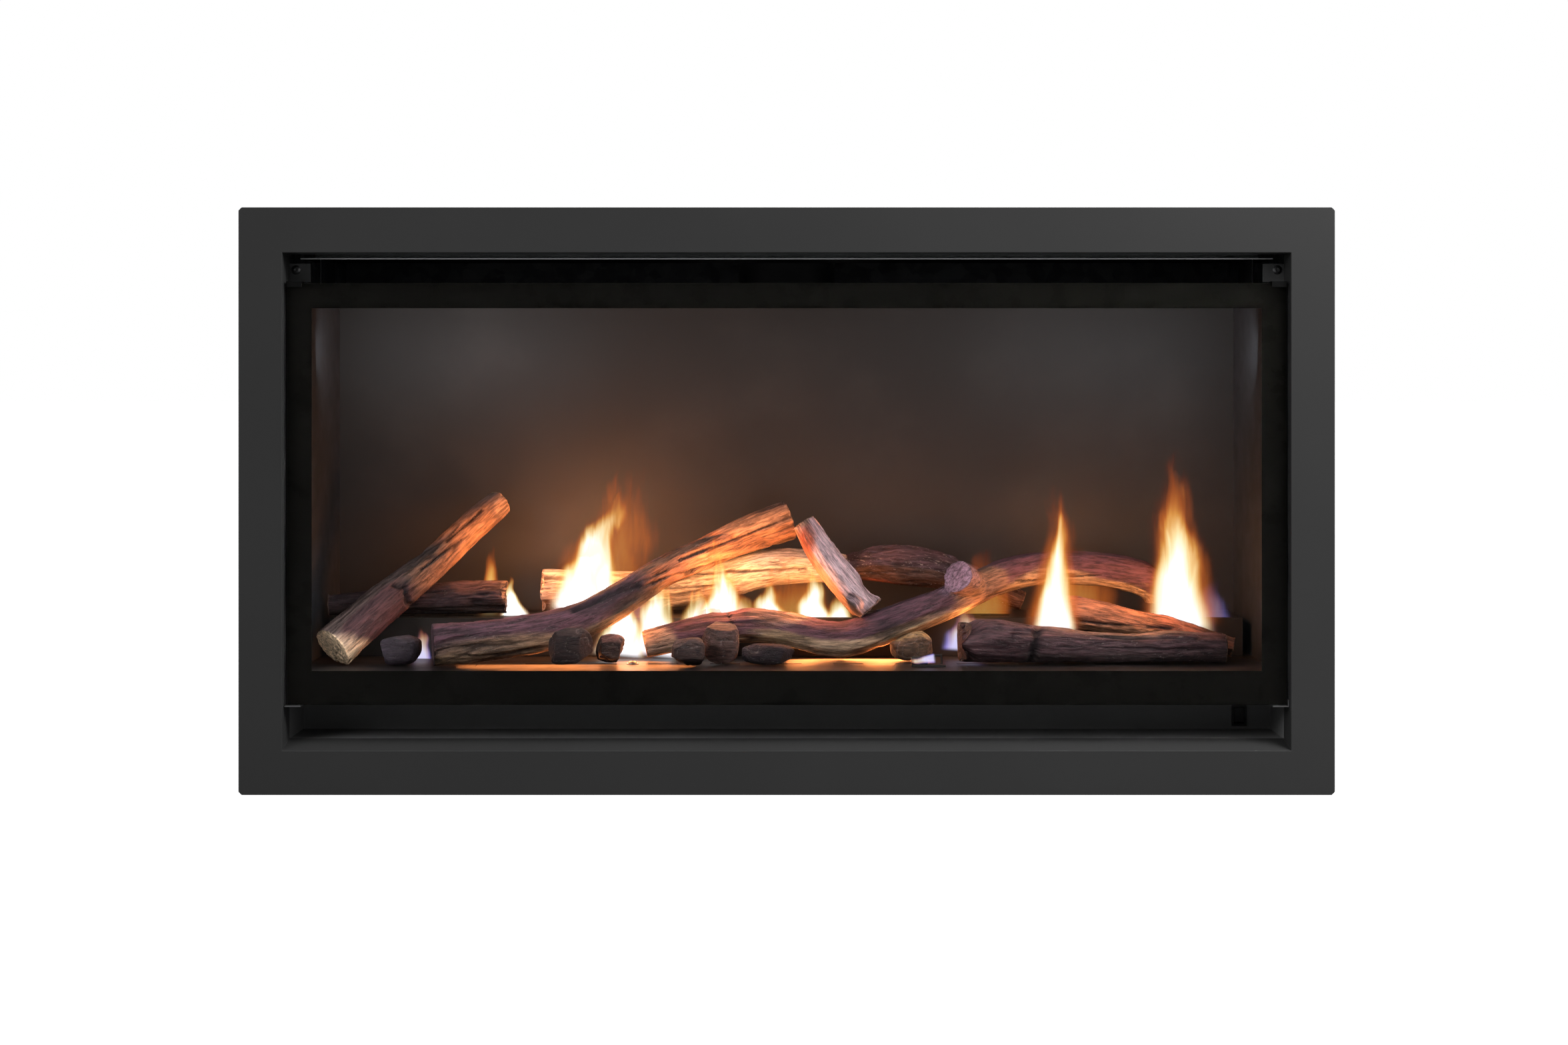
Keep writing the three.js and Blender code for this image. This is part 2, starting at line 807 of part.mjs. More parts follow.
// Front burner: a deck flush with the floor plate over a shallow pan.
function frontBurner() {
  const bottom = floorTop - panDrop;
  const front = deckFront + panInset + burnerSheet;
  const back = deckFront + deckDepth - panInset - burnerSheet;
  const half = panWidth / 2 - burnerSheet;
  const middle = deckFront + deckDepth / 2;
  const ports = spread(deckPortCount, deckPortPitch).map((x) => block(
    [x - portLength / 2, x + portLength / 2], [middle - portWidth / 2, middle + portWidth / 2],
    [floorTop - floorPlateSheet - through, floorTop + through],
  ));
  return cut(
    join(
      block([-deckWidth / 2, deckWidth / 2], [deckFront, deckFront + deckDepth], [floorTop - floorPlateSheet, floorTop]),
      panBlock(0, [bottom, floorTop - floorPlateSheet / 2]),
    ),
    block([-half, half], [front, back], [bottom + burnerSheet, floorTop - floorPlateSheet]),
    barZ(riserRadius - mixerWall, riserOffset, middle, bottom - through, bottom + burnerSheet + through),
    ...ports,
  );
}

// Mixing tube: open at its right end, with a cross tube and a riser to each burner.
function burnerVenturi() {
  const right = riserOffset + mixerReach;
  const deckMiddle = deckFront + deckDepth / 2;
  const frontTop = floorTop - panDrop - seat;
  const rearTop = floorTop + riserTop;
  const run = (radius, extra) => [
    barX(radius + mixerRadius - riserRadius, riserOffset - riserRadius + (extra ? mixerWall : 0), right + extra, mixerY, mixerRise),
    barY(radius, riserOffset, deckMiddle - radius, riserY() + radius, mixerRise),
    barZ(radius, riserOffset, deckMiddle, mixerRise - radius / 2, frontTop + extra),
    barZ(radius, riserOffset, riserY(), mixerRise - radius / 2, rearTop + extra),
  ];
  const airWindow = block(
    [right - shutterSetIn - shutterWidth / 2 - airWindowWidth / 2, right - shutterSetIn - shutterWidth / 2 + airWindowWidth / 2],
    [mixerY - mixerRadius - through, mixerY + mixerRadius + through],
    [mixerRise - airWindowHeight / 2, mixerRise + airWindowHeight / 2],
  );
  return cut(join(...run(riserRadius, 0)), ...run(riserRadius - mixerWall, through), airWindow);
}

// Air shutter: a ring round the mixing tube, drawn about its own axis.
function airShutter() {
  const inner = mixerRadius + seat;
  const half = shutterWidth / 2;
  const reach = inner + shutterWall;
  return cut(
    join(
      barX(reach, -half, half, 0, 0),
      block([-shutterWall / 2, shutterWall / 2], [-shutterWall, shutterWall], [0, reach + shutterWall * 2]),
    ),
    barX(inner, -half - through, half + through, 0, 0),
    block(
      [-airWindowWidth / 2, airWindowWidth / 2], [-reach - through, reach + through],
      [-airWindowHeight / 2, airWindowHeight / 2],
    ),
  );
}

function valveLeft() {
  return casingRight * valvePlaceShare;
}

// Gas pipe: from the valve to the injector inside the mixing tube.
function gasPipe() {
  const right = riserOffset + mixerReach;
  const end = right - injectorLength;
  return cut(
    join(
      barX(pipeRadius, end + injectorLength / 2, valveLeft() - seat, mixerY, mixerRise),
      barX(injectorRadius, end, right, mixerY, mixerRise),
    ),
    barX(pipeBoreRadius, end - through, valveLeft() + through, mixerY, mixerRise),
  );
}

// Gas valve: a cast body on a foot, with a spindle to the front and an inlet to the right.
function gasValve() {
  const left = valveLeft();
  const right = left + valveWidth;
  const front = mixerY - valveDepth / 2;
  const back = mixerY + valveDepth / 2;
  const bottom = mixerRise - valveHeight / 2;
  const middle = left + valveWidth / 2;
  return join(
    block([left, right], [front, back], [bottom, mixerRise + valveHeight / 2]),
    block(
      [middle - valveFootWidth / 2, middle + valveFootWidth / 2],
      [mixerY - valveFootDepth / 2, mixerY + valveFootDepth / 2], [casingFloor + seat, bottom + seat],
    ),
    barZ(valveCapRadius, middle, mixerY, mixerRise, mixerRise + valveHeight / 2 + valveCapHeight),
    barX(inletBossRadius, right - seat, right + inletBossLength, mixerY, mixerRise),
    barY(spindleRadius, middle, front - spindleLength, front + seat, mixerRise),
  );
}

// Knob, drawn about its own axis with its front at zero.
function valveKnob() {
  const points = Array.from({ length: knobFlutes * 6 }, (_, i) => {
    const angle = (i / (knobFlutes * 6)) * Math.PI * 2;
    const radius = knobRadius - knobFluteDepth * (0.5 - 0.5 * Math.cos(angle * knobFlutes));
    return [radius * Math.cos(angle), radius * Math.sin(angle)];
  });
  const pointer = block(
    [-pointerWidth / 2, pointerWidth / 2], [-pointerHeight, pointerHeight],
    [knobRadius / 3, knobRadius - knobFluteDepth * 2],
  );
  return cut(
    join(deep(outline(points), 0, knobLength), pointer),
    barY(spindleRadius + seat, 0, knobWall, knobLength + through, 0),
  );
}

// Isolation cock: a threaded nipple from outside the casing through a hexagon body to the valve.
function isolationCock() {
  const left = valveLeft() + valveWidth + inletBossLength + seat;
  const hexLeft = left + cockHexGap;
  const stemX = hexLeft + cockHexLength / 2;
  return cut(
    join(
      barX(cockRadius, left, casingRight + cockProud, mixerY, mixerRise),
      barX(cockHexRadius, hexLeft, hexLeft + cockHexLength, mixerY, mixerRise, 6),
      barZ(stemRadius, stemX, mixerY, mixerRise, mixerRise + stemTop + leverSheet),
    ),
    barX(pipeRadius, casingRight - through, casingRight + cockProud + through, mixerY, mixerRise),
  );
}

// Lever, drawn about the cock's stem.
function cockLever() {
  return cut(
    join(
      barZ(leverHub, 0, 0, 0, leverSheet),
      block([0, leverLength], [-leverWidth / 2, leverWidth / 2], [seat, leverSheet - seat]),
    ),
    barZ(stemRadius + seat, 0, 0, -through, leverSheet + through),
  );
}

// Pilot: a foot plate with a hood tube and a spark electrode.
function pilotBurner() {
  const pilotY = bedFront + bedDepth * pilotPlaceShare;
  const base = floorTop + seat;
  const half = pilotWidth / 2;
  const hoodZ = base + pilotPlate + pilotHoodRadius;
  return join(
    block([pilotOffset - half, pilotOffset + half], [pilotY - pilotDepth / 2, pilotY + pilotDepth / 2], [base, base + pilotPlate]),
    barX(pilotHoodRadius, pilotOffset - half, pilotOffset - half + pilotHoodLength, pilotY, hoodZ - seat),
    barZ(electrodeRadius, pilotOffset + half - pilotHoodRadius, pilotY, base, base + electrodeHeight, 8),
    barX(electrodeRadius, pilotOffset - half + pilotHoodLength, pilotOffset + half - pilotHoodRadius, pilotY, base + electrodeHeight - electrodeRadius, 8),
  );
}

// Casing
function casingBody() {
  const front = outerReturn + seat;
  const upstands = [-1, 1].map((side) => {
    const outer = side * (innerRight - upstandInset);
    const inner = outer - side * upstandWidth;
    const y = shellBack - upstandBehind;
    return block([Math.min(inner, outer), Math.max(inner, outer)], [y, y + casingSheet], [casingFloor - seat, shellUnder - seat]);
  });
  const shell = cut(
    block([-casingRight, casingRight], [front, overallDepth], [casingBottom, casingTop]),
    block([-innerRight, innerRight], [front - through, overallDepth - casingSheet], [casingFloor, casingTop + through]),
  );
  return cut(
    join(shell, ...upstands),
    barX(cockRadius + slip, innerRight - through, casingRight + through, mixerY, mixerRise),
    barX(glandRadius + seat, -casingRight - through, through - innerRight, glandY, glandRise),
  );
}

function casingLid() {
  const shape = [[-casingRight, casingRight], [outerReturn + seat, overallDepth], [lidBottom, lidBottom + casingSheet]];
  return cut(
    block(...shape),
    barZ(flueOuterRadius + seat, 0, flueY, lidBottom - through, lidBottom + casingSheet + through, facets * 2),
  );
}

// Casing front: a flange ring on the wall with a sleeve back into the casing.
function casingFront() {
  const opening = grown([-openRight, openRight, openBottom, openTop], fasciaSheet + slip);
  const ring = [
    -casingRight - flangeSideLap, casingRight + flangeSideLap,
    casingBottom - flangeEndLap, casingTop + flangeEndLap,
  ];
  const sleeve = [-innerRight + seat, innerRight - seat, casingFloor + seat, casingTop - seat];
  const front = outerReturn - casingSheet;
  return join(
    frame(ring, opening, front, casingSheet),
    frame(sleeve, grown(sleeve, -casingSheet), front + casingSheet / 2, sleeveDepth + casingSheet / 2),
  );
}

// Foot rail: a channel with its open side inwards.
function footRail(side) {
  const outer = side * (casingRight - railInset);
  const inner = outer - side * railWidth;
  const web = outer - side * railSheet;
  const low = -footGap;
  const high = casingBottom - seat;
  const shape = outline([
    [inner, low], [outer, low], [outer, high], [inner, high], [inner, high - railSheet],
    [web, high - railSheet], [web, low + railSheet], [inner, low + railSheet],
  ]);
  return deep(shape, railFrontInset, overallDepth - railBackInset - railFrontInset);
}

// Air ways
function inletTray() {
  const right = openRight + trayFlare;
  const floor = openBottom + sillRise - trayStep;
  const front = innerReturn + slip;
  const outer = right + traySheet;
  const top = facePlateBottom - seat;
  const back = trayBack + traySheet;
  const slots = spread(inletSlots, inletSlotPitch).map((x) => block(
    [x - inletSlotWidth / 2, x + inletSlotWidth / 2], [trayBack - through, back + through],
    [floor + inletSlotRise, floor + inletSlotRise + inletSlotHeight],
  ));
  const [left, far, low, high] = grown(switchLipOutline(), seat - switchLip);
  const trough = cut(
    block([-outer, outer], [front, trayBack + traySheet / 2], [floor - traySheet, top]),
    block([-right, right], [front - through, back], [floor, top + through]),
  );
  const panel = block([-outer - traySheet, outer + traySheet], [trayBack, back], [casingFloor + seat, shellUnder - seat]);
  return cut(
    join(trough, panel),
    block([left, far], [trayBack - through, back + through], [low, high]),
    panBlock(slip, [floorTop - panDrop - slip, floorTop]),
    ...slots,
  );
}

// Air deflector: a hood plate with turned-down ends and a hanger up to the lid.
function airDeflector() {
  const bottom = glassTop + deflectorGap;
  const top = bottom + deflectorSheet;
  const half = openRight - deflectorInset;
  const back = chamberFront + deflectorDepth;
  const end = openRight - deflectorEndInset;
  const hood = outline([
    [chamberFront, bottom], [back, bottom], [back, lidBottom - seat], [back - deflectorSheet, lidBottom - seat],
    [back - deflectorSheet, top], [chamberFront, top],
  ]);
  const ends = [[-end, deflectorSheet - end], [end - deflectorSheet, end]].map((span) => (
    block(span, [chamberFront + deflectorSheet, back - deflectorSheet], [facePlateTop + seat, bottom + deflectorSheet / 2])
  ));
  return join(wide(hood, -half, half * 2), ...ends);
}

// Corner bracket: a plate across the end of the air outlet, with a leg along the casing wall.
function cornerBracket(side) {
  const wall = side * (innerRight - seat);
  const leg = wall - side * bracketSheet;
  const inner = side * (openRight - bracketShow);
  const front = chamberFront + bracketSetback;
  const face = front + bracketSheet;
  const back = front + bracketLeg;
  const shape = outline([[inner, front], [wall, front], [wall, back], [leg, back], [leg, face], [inner, face]]);
  return tall(shape, glassTop + bracketRise, bracketHeight);
}

// Fan: a cross-flow rotor drawn about its own axis, with slats between two end discs.
function blowerRotor() {
  const half = fanLength / 2;
  const slats = Array.from({ length: fanBlades }, (_, i) => {
    const slat = block(
      [fanDisc / 2 - half, half - fanDisc / 2], [fanRadius - fanBladeDepth, fanRadius - fanDisc],
      [-fanBladeSheet / 2, fanBladeSheet / 2],
    );
    return slat.rotateX((i / fanBlades) * Math.PI * 2);
  });
  const shaftEnd = half + fanEndGap + fanSheet + motorGap + motorBearingDepth;
  return join(
    barX(fanRadius, -half, fanDisc - half, 0, 0),
    barX(fanRadius, half - fanDisc, half, 0, 0),
    barX(fanShaftRadius, -half - fanEndGap - fanSheet, shaftEnd, 0, 0, 12),
    ...slats,
  );
}

// Fan housing: a scroll sheet round the rotor's lower back, between two cheeks on the floor.
function blowerHousing() {
  const half = fanLength / 2 + fanEndGap;
  const inner = fanRadius + fanGap;
  const outer = inner + fanSheet;
  const top = shellUnder - seat;
  const section = new THREE.Shape();
  section.moveTo(fanY - outer, fanRise);
  section.absarc(fanY, fanRise, outer, Math.PI, Math.PI * 2, false);
  section.lineTo(fanY + outer, top - slip);
  section.lineTo(fanY + inner, top - slip);
  section.lineTo(fanY + inner, fanRise);
  section.absarc(fanY, fanRise, inner, 0, Math.PI, true);
  const scroll = wide(section, -half - fanSheet / 2, half * 2 + fanSheet);
  const cheeks = [[-half - fanSheet, -half], [half, half + fanSheet]].map((span) => (
    block(span, [fanY - fanCheekReach, fanY + fanCheekReach], [casingFloor + seat, top])
  ));
  const shaft = barX(fanShaftRadius + seat, -half - fanSheet - through, half + fanSheet + through, fanY, fanRise);
  return cut(join(scroll, ...cheeks), shaft);
}

function blowerMotor() {
  const left = fanLength / 2 + fanEndGap + fanSheet + motorGap;
  const middle = left + motorLength / 2;
  return cut(
    join(
      barX(motorRadius, left, left + motorLength, fanY, fanRise),
      block(
        [middle - motorFootWidth / 2, middle + motorFootWidth / 2],
        [fanY - motorFootDepth / 2, fanY + motorFootDepth / 2], [casingFloor + seat, fanRise],
      ),
    ),
    barX(fanShaftRadius + seat, left - through, left + motorBearingDepth + slip, fanY, fanRise),
  );
}

// Flue collars, turned about the flue's axis: the outer one has a flange on the lid.
function turned(profile) {
  const points = profile.map(([r, z]) => new THREE.Vector2(r, z));
  return new THREE.LatheGeometry([...points, points[0]], facets * 2).rotateX(Math.PI / 2);
}

function outerCollar(base, top) {
  const inner = flueOuterRadius - flueWall;
  const rim = flueOuterRadius + flueFlange;
  return turned([
    [inner, lidBottom - flueDrop], [flueOuterRadius, lidBottom - flueDrop], [flueOuterRadius, base], [rim, base],
    [rim, base + flueWall], [flueOuterRadius, base + flueWall], [flueOuterRadius, top], [inner, top],
  ]);
}

function innerCollar(base, top) {
  const inner = flueInnerRadius - flueWall;
  return turned([[inner, base], [flueInnerRadius, base], [flueInnerRadius, top], [inner, top]]);
}

// Relief flaps
function flapAxisY() {
  return flapFront + flapDepth;
}

function flapAxisZ() {
  return chamberTop + chamberSheet + seat + flapPinRadius + seat + flapBarrelWall;
}

function flapHinge(x) {
  const half = flapWidth / 2 + slip;
  const reach = flapPinRadius + seat + flapBarrelWall;
  const ears = [[x - half - flapEarWidth, x - half], [x + half, x + half + flapEarWidth]].map((span) => block(
    span, [flapAxisY() - reach, flapAxisY() + reach], [chamberTop + chamberSheet / 2, flapAxisZ() + reach],
  ));
  return [...ears, barX(flapPinRadius, x - half - flapEarWidth, x + half + flapEarWidth, flapAxisY(), flapAxisZ(), 12)];
}

// Flap, drawn about its hinge pin.
function reliefFlap() {
  const half = flapWidth / 2;
  const barrel = flapPinRadius + seat + flapBarrelWall;
  const low = -barrel;
  return cut(
    join(
      block([seat - half, half - seat], [-flapDepth, 0], [low, low + flapSheet]),
      barX(barrel, -half, half, 0, 0),
    ),
    barX(flapPinRadius + seat, -half - through, half + through, 0, 0),
  );
}

// Electrics
function controlBox() {
  const base = casingFloor + seat;
  const left = boxSideInset - casingRight;
  const front = trayBack + boxSetback;
  const span = [left, left + boxWidth];
  const depth = [front, front + boxDepth];
  const lidBase = base + boxHeight - boxLidHeight;
  return join(
    block(span, depth, [base, base + boxHeight - boxLidHeight / 2]),
    block(
      [span[0] - boxLidLap, span[1] + boxLidLap], [depth[0] - boxLidLap, depth[1] + boxLidLap],
      [lidBase, base + boxHeight],
    ),
  );
}

function switchX() {
  return openRight - switchInset;
}

function rockerAxisY() {
  return trayBack + rockerBack;
}

function switchLipOutline() {
  const x = switchX();
  return [x - switchWidth / 2, x + switchWidth / 2, switchRise - switchHeight / 2, switchRise + switchHeight / 2];
}

function switchBezel() {
  const x = switchX();
  const front = trayBack - seat - switchLip;
  const back = front + switchDeep;
  const [left, right, bottom, top] = switchLipOutline();
  const [tubeLeft, tubeRight, tubeBottom, tubeTop] = grown(switchLipOutline(), -switchLip - seat);
  const [openLeft, openFar, low, high] = grown(switchLipOutline(), -switchLip - switchWall);
  return cut(
    join(
      block([left, right], [front, front + switchLip], [bottom, top]),
      block([tubeLeft, tubeRight], [front + switchLip / 2, back], [tubeBottom, tubeTop]),
    ),
    block([openLeft, openFar], [front - through, back + through], [low, high]),
    barX(rockerPin + seat, x - switchWidth, x + switchWidth, rockerAxisY(), switchRise, 12),
  );
}

// Rocker, drawn about its pins: a face bent at its middle.
function rockerSwitch() {
  const half = switchWidth / 2 - switchLip - switchWall - seat;
  const bend = rockerReach - rockerReach / 6;
  const profile = outline([
    [-bend, 0], [-rockerReach, -rockerHalf], [0, -rockerHalf], [rockerBack / 2, 0], [0, rockerHalf],
    [-rockerReach, rockerHalf],
  ]);
  const pins = barX(rockerPin, -half - switchWall, half + switchWall, 0, 0, 12);
  return join(wide(profile, -half, half * 2), pins);
}

// Cable gland: a nut outside and inside the casing wall on a bored barrel.
function cableGland() {
  const inside = -innerRight + seat;
  const outside = -casingRight - seat;
  return cut(
    join(
      barX(glandRadius, outside - glandProud, inside + glandProud, glandY, glandRise),
      barX(glandNutRadius, outside - glandProud / 2, outside, glandY, glandRise, 6),
      barX(glandNutRadius, inside, inside + glandProud / 2, glandY, glandRise, 6),
    ),
    barX(glandBoreRadius, outside - glandProud - through, inside + glandProud + through, glandY, glandRise, 12),
  );
}

// Logs
function ripple(angle, along, seed) {
  return 0.5 * Math.sin(3 * angle + seed) + 0.3 * Math.sin(2 * angle + 7 * along + 2 * seed)
    + 0.2 * Math.sin(13 * along + 3 * seed);
}

// A log's skin: rings square to its middle line, closed by a fan at each end.
// Growing it by a clearance gives the tool that seats a neighbour against it.
function timber(log, grow = 0) {
  const stations = log.placeShares.map(([across, back, up]) => new THREE.Vector3(
    across * bedWidth, bedFront + back * bedDepth, log.base + up * girth,
  ));
  const line = new THREE.CatmullRomCurve3(stations, false, 'centripetal');
  const positions = [];
  for (let ring = 0; ring <= log.rings; ring += 1) {
    const along = ring / log.rings;
    const place = along * (stations.length - 1);
    const before = Math.min(Math.floor(place), stations.length - 2);
    const radius = girth * THREE.MathUtils.lerp(
      log.placeShares[before][3], log.placeShares[before + 1][3], place - before,
    );
    const ahead = line.getTangent(along);
    const side = new THREE.Vector3(0, 1, 0).cross(ahead).normalize();
    const up = new THREE.Vector3().crossVectors(ahead, side);
    const centre = line.getPoint(along);
    const last = ring === log.rings;
    if (ring === 0 || last) centre.addScaledVector(ahead, last ? grow : -grow);
    if (ring === 0) positions.push(...centre.toArray());
    for (let step = 0; step < logSides; step += 1) {
      const angle = (step / logSides) * Math.PI * 2;
      const reach = radius * (1 + barkShare * ripple(angle, along, log.seed)) + grow;
      const point = centre.clone()
        .addScaledVector(side, reach * Math.cos(angle)).addScaledVector(up, reach * Math.sin(angle));
      positions.push(...point.toArray());
    }
    if (last) positions.push(...centre.toArray());
  }
  const faces = [];
  const end = positions.length / 3 - 1;
  for (let step = 0; step < logSides; step += 1) {
    const next = (step + 1) % logSides;
    faces.push(0, 1 + next, 1 + step);
    faces.push(end, end - logSides + step, end - logSides + next);
    for (let ring = 0; ring < log.rings; ring += 1) {
      const low = 1 + ring * logSides;
      const high = low + logSides;
      faces.push(low + step, low + next, high + next, low + step, high + next, high + step);
    }
  }
  const geometry = new THREE.BufferGeometry();
  geometry.setAttribute('position', new THREE.Float32BufferAttribute(positions, 3));
  geometry.setIndex(faces);
  return geometry;
}

// The floor and the raised burner, grown by the seat, which cut a flat under what rests on them.
function bedTools() {
  const deepDown = [floorTop - girth * 2, floorTop + seat];
  const burnerHalf = bedWidth / 2;
  return [
    block([-bedWidth, bedWidth], [0, overallDepth], deepDown),
    block(
      [-burnerHalf, burnerHalf], [burnerFront - seat, burnerFront + burnerDepth + seat],
      [floorTop, floorTop + burnerHeight + seat],
    ),
  ];
}

// An ember: a squared, roughened lump, turned and stood on the floor.
function ember({ placeShares, sizeShares, turn }, seed, grow = 0) {
  const geometry = new THREE.IcosahedronGeometry(1, emberDetail);
  const half = sizeShares.map((share) => (share * emberSize) / 2 + grow);
  const position = geometry.attributes.position;
  for (let i = 0; i < position.count; i += 1) {
    const unit = new THREE.Vector3().fromBufferAttribute(position, i);
    const angle = Math.atan2(unit.y, unit.x);
    const rough = 1 + emberRoughShare * ripple(Math.hypot(unit.x, unit.y) * angle, unit.z / 3, seed);
    const square = unit.toArray().map((c, axis) => Math.sign(c) * Math.abs(c) ** emberSquareShare * half[axis] * rough);
    position.setXYZ(i, ...square);
  }
  geometry.rotateZ(turn);
  const [across, back] = placeShares;
  return geometry.translate(across * bedWidth, bedFront + back * bedDepth, floorTop + (sizeShares[2] * emberSize) / 2);
}

// The fascia and the door
piece('fascia_frame', fasciaFrame(), charcoalPaint);
piece('glass_pane', glassPane(), clearGlass);
piece('glass_enamel_border', enamelBorder(), blackEnamel);
piece('glass_carrier', glassCarrier(), blackSteel);
piece('rope_gasket', ropeGasket(), glassRope);
piece('top_clip_left', topClip(-1), blackSteel);
piece('top_clip_right', topClip(1), blackSteel);
piece('bottom_ledge_left', bottomLedge(-1, false), brightSteel);
piece('bottom_ledge_right', bottomLedge(1, true), brightSteel);

// The casing and its air ways
piece('casing_body', casingBody(), galvanised);
piece('casing_top', casingLid(), galvanised);
piece('casing_front', casingFront(), blackSteel);
piece('foot_rail_left', footRail(-1), galvanised);
piece('foot_rail_right', footRail(1), galvanised);
piece('inlet_tray', inletTray(), blackSteel);
piece('air_deflector', airDeflector(), blackSteel);
piece('bracket_left', cornerBracket(-1), galvanised);
piece('bracket_right', cornerBracket(1), galvanised);

// The fire chamber
piece('firebox_shell', fireboxShell(), blackSteel);
piece('liner_back', liner([seat - shellRight, shellRight - seat], [bedBack, bedBack + linerThickness]), chamberBlack);
piece('liner_left', liner([seat - shellRight, -bedWidth / 2], [bedFront, bedBack - seat]), chamberBlack);
piece('liner_right', liner([bedWidth / 2, shellRight - seat], [bedFront, bedBack - seat]), chamberBlack);
piece('floor_plate', floorPlate(), satinFloor);
piece('rear_burner', rearBurner(), blackSteel);
piece('front_burner', frontBurner(), blackSteel);
piece('pilot_burner', pilotBurner(), brightSteel);

// The logs, each seated on the bed and on the logs that carry it
const [floorTool, burnerTool] = bedTools();
const backLeft = cut(timber(backLeftLog), burnerTool);
const back = cut(timber(backLog), burnerTool);
const forked = cut(join(timber(forkedLog), timber(forkedLogStub)), floorTool, burnerTool);
const main = cut(timber(mainLog), floorTool, timber(backLog, seat), timber(forkedLog, seat));
piece('log_left', cut(timber(leftLog), floorTool, timber(backLeftLog, seat)), bark);
piece('log_back_left', backLeft, charredBark);
piece('log_main', main, bark);
piece('log_forked', forked, bark);
piece('log_prop', cut(timber(propLog), timber(forkedLog, seat), timber(mainLog, seat), timber(backLog, seat)), bark);
piece('log_charred', cut(timber(charredLog), burnerTool, timber(backLog, seat), timber(forkedLog, seat)), charredBark);
piece('log_back', back, bark);
piece('log_front_right', cut(timber(frontRightLog), floorTool), bark);
piece(
  'log_mid_right',
  cut(timber(midRightLog), floorTool, burnerTool, timber(frontRightLog, seat), timber(forkedLog, seat)), bark,
);
const emberTools = [floorTool, ...[leftLog, mainLog, forkedLog].map((log) => timber(log, seat))];
embers.forEach((spec, i) => {
  const earlier = embers.slice(0, i).map((other, j) => ember(other, j, seat));
  piece(`ember_${i + 1}`, cut(ember(spec, i), ...emberTools, ...earlier), coal);
});

// The gas train
piece('burner_venturi', burnerVenturi(), galvanised);
piece('gas_pipe', gasPipe(), brass);
piece('gas_valve', gasValve(), galvanised);
piece('isolation_cock', isolationCock(), brass);
const shutterX = riserOffset + mixerReach - shutterSetIn - shutterWidth / 2;
piece('air_shutter', airShutter(), galvanised, pivot(shutterX, mixerY, mixerRise));
const knobY = mixerY - valveDepth / 2 - knobGap - knobLength;
piece('valve_knob', valveKnob(), blackPlastic, pivot(valveLeft() + valveWidth / 2, knobY, mixerRise));
const stemX = valveLeft() + valveWidth + inletBossLength + seat + cockHexGap + cockHexLength / 2;
piece('cock_lever', cockLever(), brightSteel, pivot(stemX, mixerY, mixerRise + stemTop));

// The fan
piece('blower_housing', blowerHousing(), galvanised);
piece('blower_motor', blowerMotor(), blackSteel);
piece('blower_rotor', blowerRotor(), galvanised, pivot(0, fanY, fanRise));

// The flue collars and the relief flaps
const flueTop = casingTop + flueRise;
const flue = pivot(0, flueY, 0);
piece('flue_outer_collar', outerCollar(lidBottom + casingSheet + seat, flueTop), galvanised, flue);
piece('flue_inner_collar', innerCollar(chamberTop + chamberSheet + seat, flueTop), galvanised, flue);
piece('relief_flap_left', reliefFlap(), galvanised, pivot(-flapOffset, flapAxisY(), flapAxisZ()));
piece('relief_flap_right', reliefFlap(), galvanised, pivot(flapOffset, flapAxisY(), flapAxisZ()));

// The electrics
piece('control_box', controlBox(), blackPlastic);
piece('switch_bezel', switchBezel(), blackPlastic);
const rocker = piece('rocker_switch', rockerSwitch(), blackPlastic, pivot(switchX(), rockerAxisY(), switchRise));
rocker.rotation.x = THREE.MathUtils.degToRad(-rockerTilt);
piece('cable_gland', cableGland(), blackPlastic);

export default fireplace;
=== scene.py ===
import itertools
import json
import math

import bmesh
import bpy
import numpy as np
from mathutils import Matrix, Vector


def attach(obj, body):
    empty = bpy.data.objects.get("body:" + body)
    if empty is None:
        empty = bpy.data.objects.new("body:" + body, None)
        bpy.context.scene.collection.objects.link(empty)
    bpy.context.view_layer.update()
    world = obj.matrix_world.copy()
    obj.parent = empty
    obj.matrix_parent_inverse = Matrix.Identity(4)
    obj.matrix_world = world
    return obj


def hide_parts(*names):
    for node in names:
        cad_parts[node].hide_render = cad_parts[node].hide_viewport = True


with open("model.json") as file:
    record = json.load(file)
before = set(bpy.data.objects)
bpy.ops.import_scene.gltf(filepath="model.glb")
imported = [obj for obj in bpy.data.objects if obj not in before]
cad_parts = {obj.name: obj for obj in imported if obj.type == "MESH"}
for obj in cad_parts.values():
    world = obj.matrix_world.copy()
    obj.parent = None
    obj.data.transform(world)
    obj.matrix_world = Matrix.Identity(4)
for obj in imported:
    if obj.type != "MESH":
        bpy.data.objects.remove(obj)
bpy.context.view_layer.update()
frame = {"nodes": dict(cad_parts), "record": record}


# Camera
# It stands 2.2 m in front of the fascia and a little above the fire's middle, and looks level at the wall.
CAMERA_PLACE = (0, -2.4, 0.405)
CAMERA_LENS = 52.76
SENSOR = 36
CAMERA_SHIFT = (-0.0017, -0.0952)


def shown(name, data):
    """A new object in the scene."""
    made = bpy.data.objects.new(name, data)
    bpy.context.scene.collection.objects.link(made)
    return made


camera = shown("camera", bpy.data.cameras.new("camera"))
camera.location = CAMERA_PLACE
camera.rotation_euler = (math.pi / 2, 0, 0)
camera.data.lens = CAMERA_LENS
camera.data.sensor_width = SENSOR
camera.data.shift_x, camera.data.shift_y = CAMERA_SHIFT
camera.data.dof.use_dof = False
bpy.context.scene.camera = camera
bpy.context.scene.view_settings.view_transform = "Standard"


